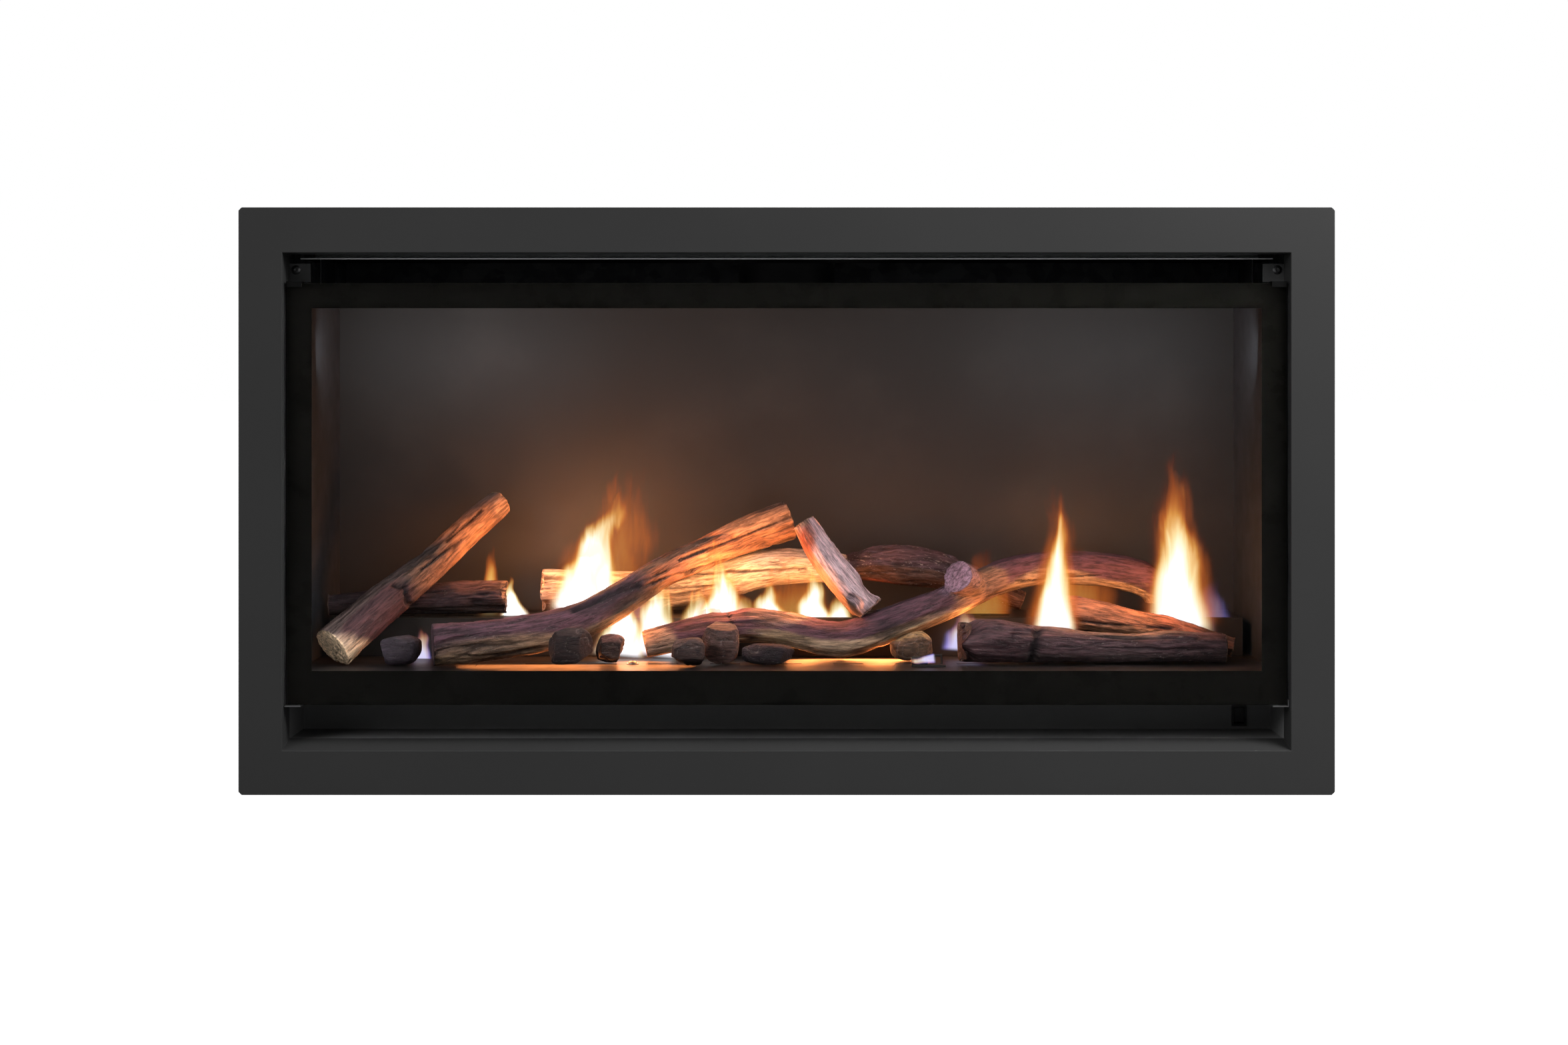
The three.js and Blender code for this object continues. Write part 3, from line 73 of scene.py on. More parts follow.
# Studio
# A pale room with a softbox on each side and one above and behind. The end of the room that the glass faces
# is dark, as a photographer's black cloth keeps it, so that flat glass shows the fire and not the room.
WHITE = (1, 1, 1, 1)
ROOM_GREY = 0.46
CLOTH_GREY = 0.03
CLOTH_NEAR = math.cos(math.radians(24))
CLOTH_FAR = math.cos(math.radians(52))
FLOOR_COLOUR = (0.15, 0.15, 0.15, 1)
FLOOR_REACH = 30
SOFTBOXES = [  # place, watts, size, whether metal and glass mirror it
    ((0.97, -0.74, 1.28), 25, 0.5, False),
    ((-1.9, -2.2, 1.5), 26, 1.2, False),
    ((0, 1.6, 2.2), 24, 1.4, True),
]
AIM = Vector((0, -0.1, 0.28))


def put(tree, kind, feeds=None, **settings):
    """One node, with its settings, and a value or a link for each socket that feeds names."""
    made = tree.nodes.new("ShaderNode" + kind)
    for key, value in settings.items():
        setattr(made, key, value)
    for key, value in (feeds or {}).items():
        if isinstance(value, bpy.types.NodeSocket):
            tree.links.new(value, made.inputs[key])
        else:
            made.inputs[key].default_value = value
    return made


def reckon(tree, operation, first, second=0.0, third=0.0):
    return put(tree, "Math", {0: first, 1: second, 2: third}, operation=operation).outputs[0]


def times(tree, first, second):
    return reckon(tree, "MULTIPLY", first, second)


def ranged(tree, value, low, high, start=0.0, end=1.0):
    feeds = {"Value": value, "From Min": low, "From Max": high, "To Min": start, "To Max": end}
    return put(tree, "MapRange", feeds, interpolation_type="SMOOTHSTEP").outputs[0]


def mixed(tree, share, first, second):
    return put(tree, "Mix", {0: share, 6: first, 7: second}, data_type="RGBA").outputs[2]


def shared(tree, first, weight, second, rest):
    """Two patterns laid together, each with its weight."""
    return reckon(tree, "ADD", times(tree, first, weight), times(tree, second, rest))


def blank(name, **constants):
    """A new material: itself, its tree and its shader, with that shader's plain values."""
    made = bpy.data.materials.new(name)
    made.use_nodes = True
    surface = made.node_tree.nodes["Principled BSDF"]
    for key, value in constants.items():
        surface.inputs[key.replace("_", " ")].default_value = value
    return made, made.node_tree, surface


def in_sight(tree):
    """1 where the camera looks straight at something, or at it through glass, else 0."""
    rays = put(tree, "LightPath").outputs
    straight = reckon(tree, "LESS_THAN", reckon(tree, "ADD", rays["Diffuse Depth"], rays["Glossy Depth"]), 0.5)
    through = times(tree, rays["Is Transmission Ray"], straight)
    return reckon(tree, "MAXIMUM", rays["Is Camera Ray"], through)


room = bpy.data.worlds.new("room")
room.use_nodes = True
bpy.context.scene.world = room
tree = room.node_tree
looking = put(tree, "TexCoord").outputs["Generated"]
towards = put(tree, "VectorMath", {0: looking, 1: (0, -1, 0)}, operation="DOT_PRODUCT").outputs["Value"]
cloth = ranged(tree, towards, CLOTH_FAR, CLOTH_NEAR, ROOM_GREY, CLOTH_GREY)
grey = put(tree, "CombineColor", {"Red": cloth, "Green": cloth, "Blue": cloth}).outputs[0]
tree.links.new(mixed(tree, in_sight(tree), grey, WHITE), tree.nodes["Background"].inputs["Color"])

floor_mesh = bpy.data.meshes.new("studio_floor")
rim = [(x * FLOOR_REACH, y * FLOOR_REACH, 0) for x, y in ((-1, -1), (1, -1), (1, 1), (-1, 1))]
floor_mesh.from_pydata(rim, [], [(0, 1, 2, 3)])
floor = shown("studio_floor", floor_mesh)
paint, tree, surface = blank(
    "studio_floor", Base_Color=FLOOR_COLOUR, Roughness=0.9, Specular_IOR_Level=0, Emission_Color=WHITE
)
tree.links.new(in_sight(tree), surface.inputs["Emission Strength"])
floor.data.materials.append(paint)


def lamp(name, kind, where, watts, size, colour=(1, 1, 1)):
    """A lamp, in metres and watts."""
    light = bpy.data.lights.new(name, kind)
    light.energy = watts
    light.color = colour
    if kind == "AREA":
        light.size = size
    else:
        light.shadow_soft_size = size
    made = shown(name, light)
    made.location = where
    return made


for number, (where, watts, size, mirrored) in enumerate(SOFTBOXES, 1):
    softbox = lamp(f"softbox_{number}", "AREA", where, watts, size)
    softbox.rotation_euler = (AIM - Vector(where)).to_track_quat("-Z", "Y").to_euler()
    softbox.visible_glossy = mirrored


# Casing
# The convection casing is folded from 1.5 mm galvanised sheet, spot-welded at its corners, with a riveted
# lid and two foot rails.
ZINC = (0.42, 0.43, 0.44, 1)
ZINC_DARK = (0.3, 0.31, 0.325, 1)
GRIME = (0.16, 0.15, 0.14, 1)
SPANGLE_SIZE = 85.0
EASE = 0.35  # mm taken off a fold
FOLD = 35  # degrees from which an edge is a fold
FLAT = math.radians(0.5)
WELD = 1e-6  # m
MM = 0.001
FASCIA_FACE = -200
FASCIA_EDGE = 1
UP, FRONT = (0, 0, 1), (0, -1, 0)
RIVET = [(3.4, 0), (3.3, 0.5), (2.6, 1.1), (1.4, 1.5), (0, 1.6)]  # radius, height in mm
SIDES = 24  # of a turned part
LID_TOP = 544.8
LID_ACROSS = (-480, -240, 240, 480)
LID_BEHIND = (27, 388)
CASING_SIDE = 500
SIDE_BEHIND = (38, 386)
SIDE_ABOVE = (60, 180, 300, 420, 520)
FINISH = (("Color", "Color"), ("Roughness", "Float"), ("Height", "Float"))  # what a finish's group puts out
nodes = frame["nodes"]
body_of = {n: body for body, names in frame["record"]["behaviour"]["bodies"].items() for n in names}


def place(across, behind, above):
    """A point in mm: across from the middle, behind the fascia's face, above the fascia's lower edge."""
    return Vector((across, behind + FASCIA_FACE, above + FASCIA_EDGE)) * MM


def group(name, takes, gives=FINISH):
    """A shader group: its tree, what comes in and what goes out."""
    made = bpy.data.node_groups.new(name, "ShaderNodeTree")
    for label, kind, value in takes:
        made.interface.new_socket(label, in_out="INPUT", socket_type="NodeSocket" + kind).default_value = value
    for label, kind in gives:
        made.interface.new_socket(label, in_out="OUTPUT", socket_type="NodeSocket" + kind)
    return made, made.nodes.new("NodeGroupInput").outputs, made.nodes.new("NodeGroupOutput").inputs


def give(tree, gives, *found):
    """Joins what a group works out to its outputs, in their order."""
    for socket, end in zip(found, gives):
        tree.links.new(socket, end)


def noise(tree, where, scale, detail=3.0, rough=0.5, twist=0.0):
    feeds = {"Vector": where, "Scale": scale, "Detail": detail, "Roughness": rough, "Distortion": twist}
    return put(tree, "TexNoise", feeds).outputs["Fac"]


def stretched(tree, where, scale):
    return put(tree, "Mapping", {"Vector": where, "Scale": scale}).outputs[0]


def drawn(tree, where, scale, *settings):
    """Noise drawn out along one way, as grain is."""
    return noise(tree, stretched(tree, where, scale), 1.0, *settings)


spangle, takes, gives = group(
    "spangle",
    [("Light", "Color", ZINC), ("Dark", "Color", ZINC_DARK), ("Size", "Float", SPANGLE_SIZE), ("Dirt", "Float", 0.3)],
)
where = put(spangle, "TexCoord").outputs["Object"]
bent = put(spangle, "TexNoise", {"Vector": where, "Scale": 70, "Detail": 2}).outputs["Color"]
drifted = put(spangle, "VectorMath", {0: bent, 1: (0.012,) * 3, 2: where}, operation="MULTIPLY_ADD").outputs[0]
flake = put(spangle, "TexVoronoi", {"Vector": drifted, "Scale": takes["Size"]}).outputs["Color"]
tone = put(spangle, "SeparateColor", {"Color": flake}).outputs[0]
cloud = noise(spangle, where, 6.0, 5.0, 0.6)
share = shared(spangle, tone, 0.55, cloud, 0.45)
metal = mixed(spangle, share, takes["Light"], takes["Dark"])
grime = times(spangle, ranged(spangle, noise(spangle, where, 14.0, 6.0, 0.65), 0.52, 0.75), takes["Dirt"])
dull = ranged(spangle, share, 0.1, 0.9, 0.34, 0.56)
give(spangle, gives, mixed(spangle, grime, metal, GRIME), dull, tone)


def dressed(name, effect, feeds, bump=0.05, step=0.0004, **constants):
    """A material whose colour, roughness and height come from one shader group."""
    made, tree, surface = blank(name, **constants)
    pattern = put(tree, "Group", node_tree=effect)
    for key, value in feeds.items():
        pattern.inputs[key].default_value = value
    tree.links.new(pattern.outputs["Color"], surface.inputs["Base Color"])
    tree.links.new(pattern.outputs["Roughness"], surface.inputs["Roughness"])
    feeds = {"Height": pattern.outputs["Height"], "Strength": bump, "Distance": step}
    tree.links.new(put(tree, "Bump", feeds).outputs[0], surface.inputs["Normal"])
    return made


def clothe(finish, *names):
    """Gives CAD nodes their material."""
    for name in names:
        nodes[name].data.materials.clear()
        nodes[name].data.materials.append(finish)


def settle(made, mesh, finish, body, smooth=None):
    """Puts a new piece in the scene, on its body, with its finish."""
    piece = shown(made, mesh)
    mesh.materials.clear()
    mesh.materials.append(finish)
    if smooth is not None:
        mesh.shade_smooth()
        mesh.set_sharp_from_angle(angle=math.radians(smooth))
        piece.modifiers.new("flat faces", "WEIGHTED_NORMAL").keep_sharp = True
    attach(piece, body)
    return piece


def meshed(name, work):
    mesh = bpy.data.meshes.new(name)
    work.to_mesh(mesh)
    work.free()
    return mesh


def eased(name, finish, width=EASE, steps=2, corner=FOLD):
    """The CAD node with its sharp folds eased, as bent and painted sheet has them."""
    work = bmesh.new()
    work.from_mesh(nodes[name].data)
    bmesh.ops.remove_doubles(work, verts=work.verts, dist=WELD)
    bmesh.ops.dissolve_limit(work, angle_limit=FLAT, verts=work.verts, edges=work.edges)
    folds = [e for e in work.edges if len(e.link_faces) == 2 and e.calc_face_angle() > math.radians(corner)]
    bmesh.ops.bevel(
        work, geom=folds, offset=width * MM, offset_type="OFFSET", segments=steps, profile=0.5,
        affect="EDGES", clamp_overlap=True, loop_slide=True,
    )
    mesh = meshed(name + "_eased", work)
    piece = settle(name + "_eased", mesh, finish, body_of[name], smooth=32)
    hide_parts(name)
    return piece


galvanised = dressed(
    "galvanised sheet", spangle, {"Light": ZINC, "Dark": ZINC_DARK, "Size": SPANGLE_SIZE, "Dirt": 0.35},
    bump=0.04, Metallic=0.85,
)
for name in ("casing_body", "casing_top", "foot_rail_left", "foot_rail_right"):
    eased(name, galvanised)


def turned(profile):
    """A small turned part: (radius, height) steps, spun about Z."""
    work = bmesh.new()
    rings = []
    for radius, height in profile:
        if radius == 0:
            rings.append([work.verts.new((0, 0, height * MM))])
            continue
        spin = [2 * math.pi * i / SIDES for i in range(SIDES)]
        ring = [(radius * MM * math.cos(a), radius * MM * math.sin(a), height * MM) for a in spin]
        rings.append([work.verts.new(point) for point in ring])
    for low, high in zip(rings, rings[1:]):
        for i in range(SIDES):
            j = (i + 1) % SIDES
            if len(low) == 1:
                work.faces.new((low[0], high[j], high[i]))
            elif len(high) == 1:
                work.faces.new((low[i], low[j], high[0]))
            else:
                work.faces.new((low[i], low[j], high[j], high[i]))
    return work


def scatter(made, profile, spots, out, finish):
    """Copies of a small turned part at several spots on the casing, each facing out, as one piece."""
    small = meshed(made + "_one", turned(profile))
    work = bmesh.new()
    turn = Vector(out).to_track_quat("Z", "Y").to_matrix().to_4x4()
    for spot in spots:
        before = len(work.verts)
        work.from_mesh(small)
        work.verts.ensure_lookup_table()
        bmesh.ops.transform(work, matrix=Matrix.Translation(spot) @ turn, verts=work.verts[before:])
    bmesh.ops.recalc_face_normals(work, faces=work.faces)
    mesh = meshed(made, work)
    bpy.data.meshes.remove(small)
    return settle(made, mesh, finish, "casing", smooth=35)


spots = [place(across, behind, LID_TOP) for across in LID_ACROSS for behind in LID_BEHIND]
scatter("lid_rivets", RIVET, spots, UP, galvanised)
for side, label in ((-1, "left"), (1, "right")):
    spots = [place(side * CASING_SIDE, behind, above) for behind in SIDE_BEHIND for above in SIDE_ABOVE]
    scatter("side_rivets_" + label, RIVET, spots, (side, 0, 0), galvanised)


# Stove paint
# The flange ring, which clamps on the wall, and the fire chamber's shell are mild steel in matt black stove
# paint. It is a little mottled and shows faint grey dust where hands and brushes have been.
stove, takes, gives = group(
    "stove paint",
    [("Paint", "Color", (0.012, 0.012, 0.013, 1)), ("Dust", "Color", (0.06, 0.057, 0.053, 1)),
     ("Dusting", "Float", 0.4), ("Gloss", "Float", 0.0), ("Grain", "Float", 700.0)],
)
where = put(stove, "TexCoord").outputs["Object"]
mottle = noise(stove, where, 9.0, 6.0, 0.6)
dusty = times(stove, ranged(stove, mottle, 0.45, 0.8), takes["Dusting"])
coated = mixed(stove, dusty, takes["Paint"], takes["Dust"])
dull = ranged(stove, noise(stove, where, 22.0, 4.0), 0.3, 0.7, 0.46, 0.58)
dull = reckon(stove, "SUBTRACT", dull, takes["Gloss"])
give(stove, gives, coated, dull, noise(stove, where, takes["Grain"], 2.0))
stove_black = dressed("matt black stove paint", stove, {"Dusting": 0.35}, bump=0.12, step=0.0003)
soot_black = dressed(
    "sooted black steel", stove, {"Paint": (0.02, 0.017, 0.015, 1), "Dusting": 0.5}, bump=0.15, step=0.0003
)
eased("casing_front", stove_black)
clothe(soot_black, "firebox_shell")


# Flue collars and relief flaps
# The balanced flue has two concentric collars, rolled and seam-welded, the outer one galvanised and the
# inner one black. The flaps over the relief openings lift on their own pins if gas lights late.
for name in ("flue_outer_collar", "relief_flap_left", "relief_flap_right"):
    eased(name, galvanised, corner=40)
eased("flue_inner_collar", stove_black, corner=40)
COLLAR_RADIUS = 81
COLLAR_BEHIND = 200
COLLAR_FLANGE = 546.6
ring = [(COLLAR_RADIUS * math.cos(a), COLLAR_RADIUS * math.sin(a)) for a in map(math.radians, (45, 135, 225, 315))]
spots = [place(across, COLLAR_BEHIND + behind, COLLAR_FLANGE) for across, behind in ring]
scatter("collar_rivets", RIVET, spots, UP, galvanised)


# Chamber lining, floor and front burner
# Pressed refractory boards with a baked, half-gloss black coat line the chamber. Its floor, held by a pan
# screw, and the front burner, a pan under the floor's level, are steel in satin black paint.
CHAMBER = {  # paint, dust, dusting, gloss, grain, bump
    "baked lining": ((0.0335, 0.0318, 0.0312, 1), (0.055, 0.051, 0.049, 1), 0.5, 0.1, 1500.0, 0.15),
    # The side boards take a darker, cooler copy of the back boards' coat: painted shade on the same boards.
    "baked lining with painted shade": ((0.026, 0.0275, 0.031, 1), (0.043, 0.044, 0.048, 1), 0.4, 0.1, 1500.0, 0.15),
    "satin floor paint": ((0.02, 0.016, 0.015, 1), (0.05, 0.042, 0.038, 1), 0.3, 0.06, 900.0, 0.06),
}
lining, shaded_side_lining, satin = (
    dressed(
        name, stove, {"Paint": coat, "Dust": dust, "Dusting": dusting, "Gloss": gloss, "Grain": grain},
        bump=bump, step=0.0002,
    )
    for name, (coat, dust, dusting, gloss, grain, bump) in CHAMBER.items()
)
clothe(lining, "liner_back")
# The side boards wear the copy with painted shade.
clothe(shaded_side_lining, "liner_left", "liner_right")
clothe(satin, "floor_plate")
eased("front_burner", satin, width=0.3)
PAN_SCREW = [(6.2, 0), (6.2, 0.7), (4.4, 0.8), (4.3, 1.6), (3.2, 2.7), (1.6, 3.1), (1.5, 2.3), (0, 2.2)]
PAN_SCREW_SPOT = (-154.7, 108.6, 112)
BRIGHT = (0.5, 0.5, 0.51, 1)
BRIGHT_DARK = (0.3, 0.3, 0.31, 1)
TARNISH = (0.1, 0.085, 0.07, 1)

brushed, takes, gives = group(
    "drawn metal",
    [("Light", "Color", BRIGHT), ("Dark", "Color", BRIGHT_DARK), ("Lines", "Vector", (40.0, 900.0, 900.0)),
     ("Gloss", "Float", 0.0), ("Tarnish", "Float", 0.2)],
)
where = put(brushed, "TexCoord").outputs["Object"]
lines = drawn(brushed, where, takes["Lines"], 4.0, 0.6)
stain = ranged(brushed, noise(brushed, where, 30.0, 5.0, 0.6), 0.45, 0.75)
stain = times(brushed, stain, takes["Tarnish"])
bare = mixed(brushed, lines, takes["Light"], takes["Dark"])
dull = reckon(brushed, "SUBTRACT", ranged(brushed, lines, 0.2, 0.8, 0.3, 0.46), takes["Gloss"])
give(brushed, gives, mixed(brushed, stain, bare, TARNISH), dull, lines)
bright_steel = dressed("bright drawn steel", brushed, {"Tarnish": 0.25}, bump=0.05, step=0.0002, Metallic=1.0)
scatter("floor_screw", PAN_SCREW, [place(*PAN_SCREW_SPOT)], UP, bright_steel)


# Rear burner and pilot
# The rear burner, on which the log set rests, is a long folded steel box with ports along its top. The
# pilot has a pressed base, a hood and an electrode. The fire has blackened both.
eased("rear_burner", soot_black, width=0.4)
clothe(soot_black, "pilot_burner")


# Gas train
# From the right: the gas pipe's cock and its lever, a die-cast valve with a black knob, a brass pipe with
# its injector, then the mixing tube with a slotted air shutter.
BRASS = (0.58, 0.41, 0.16, 1)
BRASS_DARK = (0.36, 0.23, 0.08, 1)
brass = dressed(
    "turned brass", brushed, {"Light": BRASS, "Dark": BRASS_DARK, "Lines": (900.0, 60.0, 60.0), "Tarnish": 0.45},
    bump=0.05, step=0.0002, Metallic=1.0,
)
clothe(brass, "gas_pipe", "isolation_cock")
clothe(bright_steel, "cock_lever")
clothe(galvanised, "burner_venturi", "air_shutter")

grit, takes, gives = group(
    "cast grain",
    [("Base", "Color", (0.5, 0.5, 0.5, 1)), ("Low", "Color", (0.33, 0.33, 0.34, 1)), ("Scale", "Float", 900.0),
     ("Dull", "Float", 0.5)],
)
where = put(grit, "TexCoord").outputs["Object"]
pits = noise(grit, where, takes["Scale"], 2.0, 0.6)
cloud = noise(grit, where, 35.0, 5.0, 0.6)
share = shared(grit, pits, 0.4, cloud, 0.6)
dull = reckon(grit, "ADD", takes["Dull"], ranged(grit, cloud, 0.3, 0.7, -0.06, 0.08))
give(grit, gives, mixed(grit, share, takes["Base"], takes["Low"]), dull, pits)
cast = dressed("as-cast aluminium", grit, {}, bump=0.25, step=0.0004, Metallic=0.9)
moulding = dressed(
    "spark-textured plastic", grit,
    {"Base": (0.011, 0.011, 0.011, 1), "Low": (0.022, 0.022, 0.022, 1), "Scale": 1300.0, "Dull": 0.48},
    bump=0.3, step=0.0003,
)
eased("gas_valve", cast, width=1.2)
eased("valve_knob", moulding, width=0.6)


# Fan
# A tangential blower: a pressed steel housing with a long rolled rotor, driven by a small shaded-pole motor.
rolled = dressed(
    "rolled aluminium", brushed,
    {"Light": (0.6, 0.6, 0.61, 1), "Dark": (0.45, 0.45, 0.46, 1), "Lines": (30.0, 700.0, 700.0), "Tarnish": 0.15},
    bump=0.05, step=0.0002, Metallic=1.0,
)
clothe(rolled, "blower_rotor")
eased("blower_housing", galvanised, width=0.3)
clothe(stove_black, "blower_motor")


# Electrics
# The control box, cable gland, switch bezel and rocker are fine-textured black mouldings.
for name, width in (("control_box", 1.5), ("switch_bezel", 0.5), ("rocker_switch", 0.5), ("cable_gland", 0.4)):
    eased(name, moulding, width=width)


# Air ways
# Under the glass a folded tray brings room air in, and over it a deflector sends warm air out. At each end
# of the outlet a lighter plate is fixed by a cross-recess screw.
tray_black = dressed("tray paint", stove, {"Paint": (0.2, 0.2, 0.201, 1), "Dusting": 0.0}, bump=0.1, step=0.0003)
eased("inlet_tray", tray_black, width=0.3)
deflector = eased("air_deflector", stove_black, width=0.3)
plated = dressed(
    "dull zinc plate", spangle,
    {"Light": (0.24, 0.24, 0.24, 1), "Dark": (0.19, 0.19, 0.192, 1), "Size": 200.0, "Dirt": 0.2},
    bump=0.03, Metallic=0.4,
)
# The lip's room-facing faces get a near-white coat: partly the bare sheared steel, partly a painted highlight along
# the edge.
lip_edge_and_highlight = dressed(
    "bare edge with painted highlight", spangle, {"Light": (0.9, 0.9, 0.9, 1), "Dark": (0.8, 0.8, 0.8, 1), "Size": 300.0, "Dirt": 0.0},
    bump=0.03, Metallic=0.1,
)
deflector.data.materials.append(lip_edge_and_highlight)
# The painted highlight goes on the lip's faces that look into the room.
LIP_LOW = place(0, 0, 512).z
for face in deflector.data.polygons:
    face.material_index = int(face.normal.y < -0.5 and face.center.z > LIP_LOW)
CROSS_SCREW = [(4.5, 0), (4.4, 0.5), (3.6, 1.2), (2.0, 1.6), (1.6, 0.7), (0, 0.4)]
CROSS_SCREW_ACROSS, CROSS_SCREW_BEHIND, CROSS_SCREW_ABOVE = 478.7, 42, 504.9
for side, label in ((-1, "left"), (1, "right")):
    eased("bracket_" + label, plated, width=0.3)
    spot = place(side * CROSS_SCREW_ACROSS, CROSS_SCREW_BEHIND, CROSS_SCREW_ABOVE)
    scatter("outlet_screw_" + label, CROSS_SCREW, [spot], FRONT, bright_steel)


# Glass door
# A flat ceramic pane with a black enamel border fired on its back lies on a folded sheet carrier, over a
# braided glass rope. Black hooks hold its top corners and bright ledges carry the bottom ones.
pane, tree, surface = blank(
    "clear ceramic glass", Base_Color=(0.97, 0.97, 0.97, 1), Roughness=0.0, IOR=1.08, Transmission_Weight=1.0
)
clothe(pane, "glass_pane")
enamel = dressed(
    "fired black enamel", grit,
    {"Base": (0.0075, 0.007, 0.0058, 1), "Low": (0.0105, 0.0098, 0.0082, 1), "Scale": 2500.0, "Dull": 0.3},
    bump=0.02, step=0.0001, Specular_IOR_Level=0.05,
)
clothe(enamel, "glass_enamel_border")
eased("glass_carrier", stove_black, width=0.3)

braid, takes, gives = group(
    "braided rope",
    [("Strand", "Color", (0.075, 0.07, 0.063, 1)), ("Gap", "Color", (0.012, 0.011, 0.01, 1)),
     ("Pitch", "Float", 900.0)],
)
where = put(braid, "TexCoord").outputs["Object"]
across, deep, high = put(braid, "SeparateXYZ", {0: where}).outputs
forth = reckon(braid, "ADD", reckon(braid, "ADD", across, high), deep)
back = reckon(braid, "SUBTRACT", reckon(braid, "ADD", across, high), deep)
over = reckon(braid, "SINE", times(braid, forth, takes["Pitch"]))
under = reckon(braid, "SINE", times(braid, back, takes["Pitch"]))
weave = reckon(braid, "ABSOLUTE", times(braid, over, under))
fuzz = noise(braid, where, 1800.0, 2.0)
lift = shared(braid, weave, 0.8, fuzz, 0.2)
dull = ranged(braid, fuzz, 0.2, 0.8, 0.85, 0.95)
give(braid, gives, mixed(braid, lift, takes["Gap"], takes["Strand"]), dull, lift)
rope = dressed("braided glass rope", braid, {}, bump=0.6, step=0.001)
clothe(rope, "rope_gasket")
hook_black = dressed(
    "hook paint", stove, {"Paint": (0.006, 0.006, 0.006, 1), "Dusting": 0.1, "Gloss": 0.1},
    bump=0.08, step=0.0002, Specular_IOR_Level=0.1,
)
for side in ("left", "right"):
    eased("top_clip_" + side, hook_black, width=0.3)
    eased("bottom_ledge_" + side, bright_steel, width=0.3)


# Fascia
# Folded from 2 mm sheet with an outer return to the wall and an inner return into the fire, then powder
# coated in satin charcoal: a fine, even orange peel with a soft sheen on the folds.
powder, takes, gives = group(
    "powder coat",
    [("Coat", "Color", (0.038, 0.038, 0.038, 1)), ("Worn", "Color", (0.057, 0.057, 0.057, 1)),
     ("Peel", "Float", 420.0)],
)
where = put(powder, "TexCoord").outputs["Object"]
cloud = noise(powder, where, 5.0, 4.0, 0.55)
fleck = noise(powder, where, 2600.0, 1.0)
worn = ranged(powder, cloud, 0.35, 0.75, 0.0, 0.14)
share = reckon(powder, "ADD", worn, ranged(powder, fleck, 0.55, 0.75, 0.0, 0.12))
coated = mixed(powder, share, takes["Coat"], takes["Worn"])
dull = ranged(powder, cloud, 0.3, 0.7, 0.44, 0.5)
give(powder, gives, coated, dull, noise(powder, where, takes["Peel"], 2.0, 0.45))
charcoal = dressed("satin charcoal powder coat", powder, {}, bump=0.08, step=0.0004)
eased("fascia_frame", charcoal, width=0.7, steps=3)


# Logs
# Each log is moulded in ceramic fibre from a real branch and painted by hand: plum and brown bark, paler
# ochre where it is split or sawn, soot in the cracks and white ash on what stands in the flames.
# Many colour patches are painted firelight and room light on the faces turned to the flames and the glass, and on most
# logs the downward faces carry painted shade.
VOXEL = 2.0  # mm
BARK = (0.095, 0.052, 0.06)
CHAR = (0.02, 0.014, 0.016)
ASH = (0.42, 0.36, 0.33)
BINS = 22  # slices in which a log's middle is found
LATTICE = np.array([73856093, 19349663, 83492791])
SEED_STEP = 2654435
SCRAMBLE = ((13, 1274126177), (16, 2246822519))  # shift, factor


def wander(points, seed):
    """Smooth lattice noise, one value from -1 to 1 for each point."""
    cell = np.floor(points).astype(np.int64)
    part = points - cell
    part = part * part * (3 - 2 * part)
    total = np.zeros(len(points))
    for corner in itertools.product((0, 1), repeat=3):
        key = (cell + corner) @ LATTICE + seed * SEED_STEP
        for shift, factor in SCRAMBLE:
            key = (key ^ (key >> shift)) * factor & 0xFFFFFFFF
        value = (key >> 8 & 0xFFFF) / 32767.5 - 1
        total += value * np.prod(np.where(corner, part, 1 - part), axis=1)
    return total


def fractal(points, seed, octaves=4, fall=0.5):
    total = sum(fall**i * wander(points * 2**i, seed + i) for i in range(octaves))
    return total / sum(fall**i for i in range(octaves))


def step(value, low, high):
    share = np.clip((value - low) / (high - low), 0, 1)
    return share * share * (3 - 2 * share)


def grown(name, voxel, rounds):
    """The CAD solid as an even, rounded mesh: the mesh, its points and their outward directions."""
    rough = shown(name + "_rough", nodes[name].data.copy())
    rough.modifiers.new("weld", "WELD").merge_threshold = WELD
    remesh = rough.modifiers.new("even", "REMESH")
    remesh.mode = "VOXEL"
    remesh.voxel_size = voxel * MM
    smooth = rough.modifiers.new("round", "SMOOTH")
    smooth.factor = 0.5
    smooth.iterations = rounds
    view = bpy.context.evaluated_depsgraph_get()
    mesh = bpy.data.meshes.new_from_object(rough.evaluated_get(view))
    bpy.data.objects.remove(rough)
    points = np.zeros(len(mesh.vertices) * 3)
    outward = np.zeros(len(mesh.vertices) * 3)
    mesh.vertices.foreach_get("co", points)
    mesh.vertex_normals.foreach_get("vector", outward)
    return mesh, points.reshape(-1, 3), outward.reshape(-1, 3)


def along_grain(points):
    """For each point: how far along the log, and its two distances from the log's own bent middle."""
    middle = points.mean(0)
    axis = np.linalg.svd(points - middle, full_matrices=False)[2][0]
    axis = axis if axis[0] > 0 else -axis
    side = np.cross(axis, (0, 0, 1.0))
    side /= np.linalg.norm(side)
    top = np.cross(side, axis)
    run = (points - middle) @ axis
    edges = np.linspace(run.min(), run.max(), BINS + 1)
    spot = np.clip(np.digitize(run, edges) - 1, 0, BINS - 1)
    centres = (edges[1:] + edges[:-1]) / 2
    drift = []
    for direction in (side, top):
        off = (points - middle) @ direction
        means = np.array([off[spot == i].mean() if (spot == i).any() else 0.0 for i in range(BINS)])
        means = np.convolve(np.pad(means, 2, "edge"), np.ones(5) / 5, "valid")
        drift.append(off - np.interp(run, centres, means))
    return run, drift[0], drift[1], axis


def store(mesh, name, values):
    layer = mesh.attributes.new(name, "FLOAT_VECTOR", "POINT")
    layer.data.foreach_set("vector", values.astype(np.float32).ravel())


